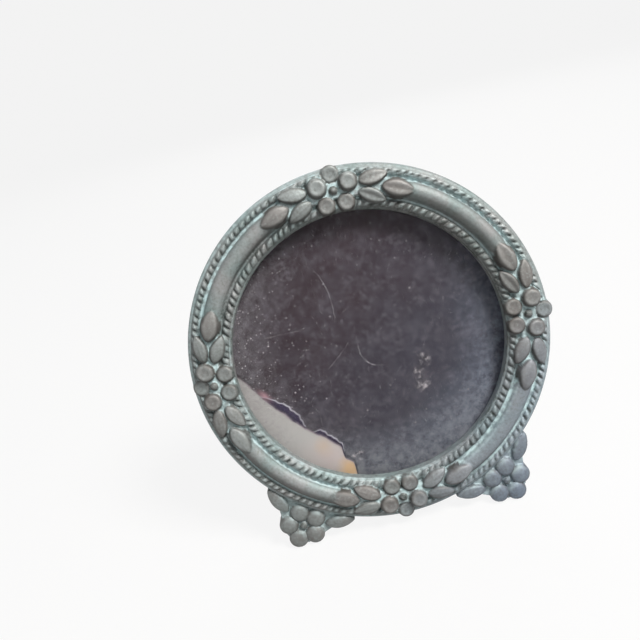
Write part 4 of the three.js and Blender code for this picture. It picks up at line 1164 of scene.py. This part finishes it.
outline = roundedOutline([
    (-leg["topHalf"], -leg["top"], leg["corner"]), (-leg["endHalf"], -leg["endBack"], 0),
    (leg["endHalf"], -leg["endBack"], 0), (leg["topHalf"], -leg["top"], leg["corner"])])
points, faces = slabBetween(outline, leg["front"], leg["back"])
atEnd = (points[:, 1] < 0) & (points[:, 2] < -leg["endFront"])  # the end is cut to lie on the table
points[:, 2] += np.where(atEnd, leg["endBack"] - leg["endFront"], 0)
fit("easel_leg", "flocked", (points, faces), flock, "leg", onLeg, leg["edge"], leg["edgeSteps"])

# Turn buttons and their screws, at the corners of the back
button = {"middle": 41.4, "front": 0.2, "back": 1.0, "heel": 2.8, "toe": 1.9, "reach": 7.6, "edge": 0.2,
          "arcPoints": 28}
screw = {"shank": 0.9, "tip": -5.0, "seat": 1.2, "head": 1.7, "top": 2.1, "crown": 0.45, "turns": 48,
         "slotWidth": 0.5, "slotDepth": 0.45, "slotLength": 8, "slotOver": 1}
flare = math.asin((button["heel"] - button["toe"]) / button["reach"])
quarterOn = math.pi / 2 + flare
outline = []
for centre, radius, span in ((0, button["heel"], (-quarterOn, quarterOn)),
                             (-button["reach"], button["toe"], (quarterOn, 2 * math.pi - quarterOn))):
    for t in np.linspace(*span, button["arcPoints"]):
        outline.append((radius * math.sin(t), centre + radius * math.cos(t)))
stamped = slabBetween(outline, button["front"], button["back"])
slotHalf = screw["slotWidth"] / 2
slotShape = rectangle(0, screw["slotLength"], -slotHalf, slotHalf)
slot = slabBetween(slotShape, screw["top"] - screw["slotDepth"], screw["top"] + screw["slotOver"])
profile = [(0, screw["tip"]), (screw["shank"], screw["tip"]), (screw["shank"], screw["seat"]),
           (screw["head"], screw["seat"])]
profile += quarterRound(screw["head"], screw["top"], screw["crown"]) + [(0, screw["top"])]
turned = revolved(profile, screw["turns"])
for corner, clock in corners.items():
    def atCorner(points):
        return clockwise(np.asarray(points) + (0, 0, button["middle"]), clock)

    fit("turn_button_" + corner, "stamped", stamped, steel, "button_" + corner, atCorner, button["edge"])
    fit("turn_screw_" + corner, "slotted", turned, steel, place=atCorner, cut=slot)
print("back, hinge, leg and turn buttons made")

# Stage: a paper sweep that curves up behind, plain soft light. World and sky are the light that the room
# gives and what is seen of it; glow is the share of white in what is seen of the paper.
stage = {"half": 3.0, "front": -2.5, "bend": 1.0, "radius": 0.9, "height": 3.5, "steps": 25, "world": 0.17,
         "sky": 0.9, "glow": 0.88, "aim": (0, 0, 0.045)}
profile = [(stage["front"], 0)]
profile += [(stage["bend"] + stage["radius"] * math.sin(t), stage["radius"] * (1 - math.cos(t)))
            for t in np.linspace(0, math.pi / 2, stage["steps"])]
profile.append((stage["bend"] + stage["radius"], stage["height"]))
points = [(x, y, z) for x in (-stage["half"], stage["half"]) for y, z in profile]
n = len(profile)
sweep = meshFrom("paper_sweep", points, [(k, n + k, n + k + 1, k + 1) for k in range(n - 1)])


def seenByCamera(add):
    # 1 for what the camera sees straight, in a reflection or through the glass
    light = add("LightPath", {})
    seen = light.outputs["Is Camera Ray"]
    for ray in ("Is Glossy Ray", "Is Transmission Ray"):
        seen = add("Math", {0: seen, 1: light.outputs[ray]}, operation="ADD", use_clamp=True)
    return seen


# Matt paper: even and pale, it keeps a soft shadow
def paperSweep():
    made, add, mm, given = startMaterial("paperSweepMatt", fibre=(3, 2))
    paper = add("Mix", {0: given["fibre"], 6: linear("c2c1c0"), 7: linear("c8c7c6")}, data_type="RGBA")
    matt = add("BsdfDiffuse", {"Color": paper})
    glow = add("Emission", {"Color": linear("ffffff"), "Strength": 1.0})
    share = add("Math", {0: seenByCamera(add), 1: stage["glow"]}, operation="MULTIPLY")
    both = add("MixShader", {0: share, 1: matt, 2: glow})
    add("OutputMaterial", {"Surface": both})
    return made


sweep.data.materials.append(paperSweep())
world = bpy.data.worlds.new("studio")
bpy.context.scene.world = world
addSky = startTree(world)
strength = addSky("MapRange", {0: seenByCamera(addSky), 3: stage["world"], 4: stage["sky"]})
sky = addSky("Background", {"Color": linear("ffffff"), "Strength": strength})
addSky("OutputWorld", {"Surface": sky})

lamps = {
    "key": {"place": (0.30, -0.22, 0.52), "size": 0.20, "power": 5.5, "colour": "fffdfa"},
    "fill": {"place": (-0.45, -0.35, 0.30), "size": 0.50, "power": 0.3, "colour": "f6f9ff"},
    "back": {"place": (0.10, 0.55, 0.45), "size": 0.60, "power": 2.0, "colour": "ffffff"},
}
for name, lamp in lamps.items():
    data = bpy.data.lights.new(name, "AREA")
    data.size = lamp["size"]
    data.energy = lamp["power"]
    data.color = linear(lamp["colour"])[:3]
    made = bpy.data.objects.new(name, data)
    bpy.context.scene.collection.objects.link(made)
    made.location = lamp["place"]
    made.rotation_euler = (Vector(stage["aim"]) - made.location).to_track_quat("-Z", "Y").to_euler()
print("stage set")
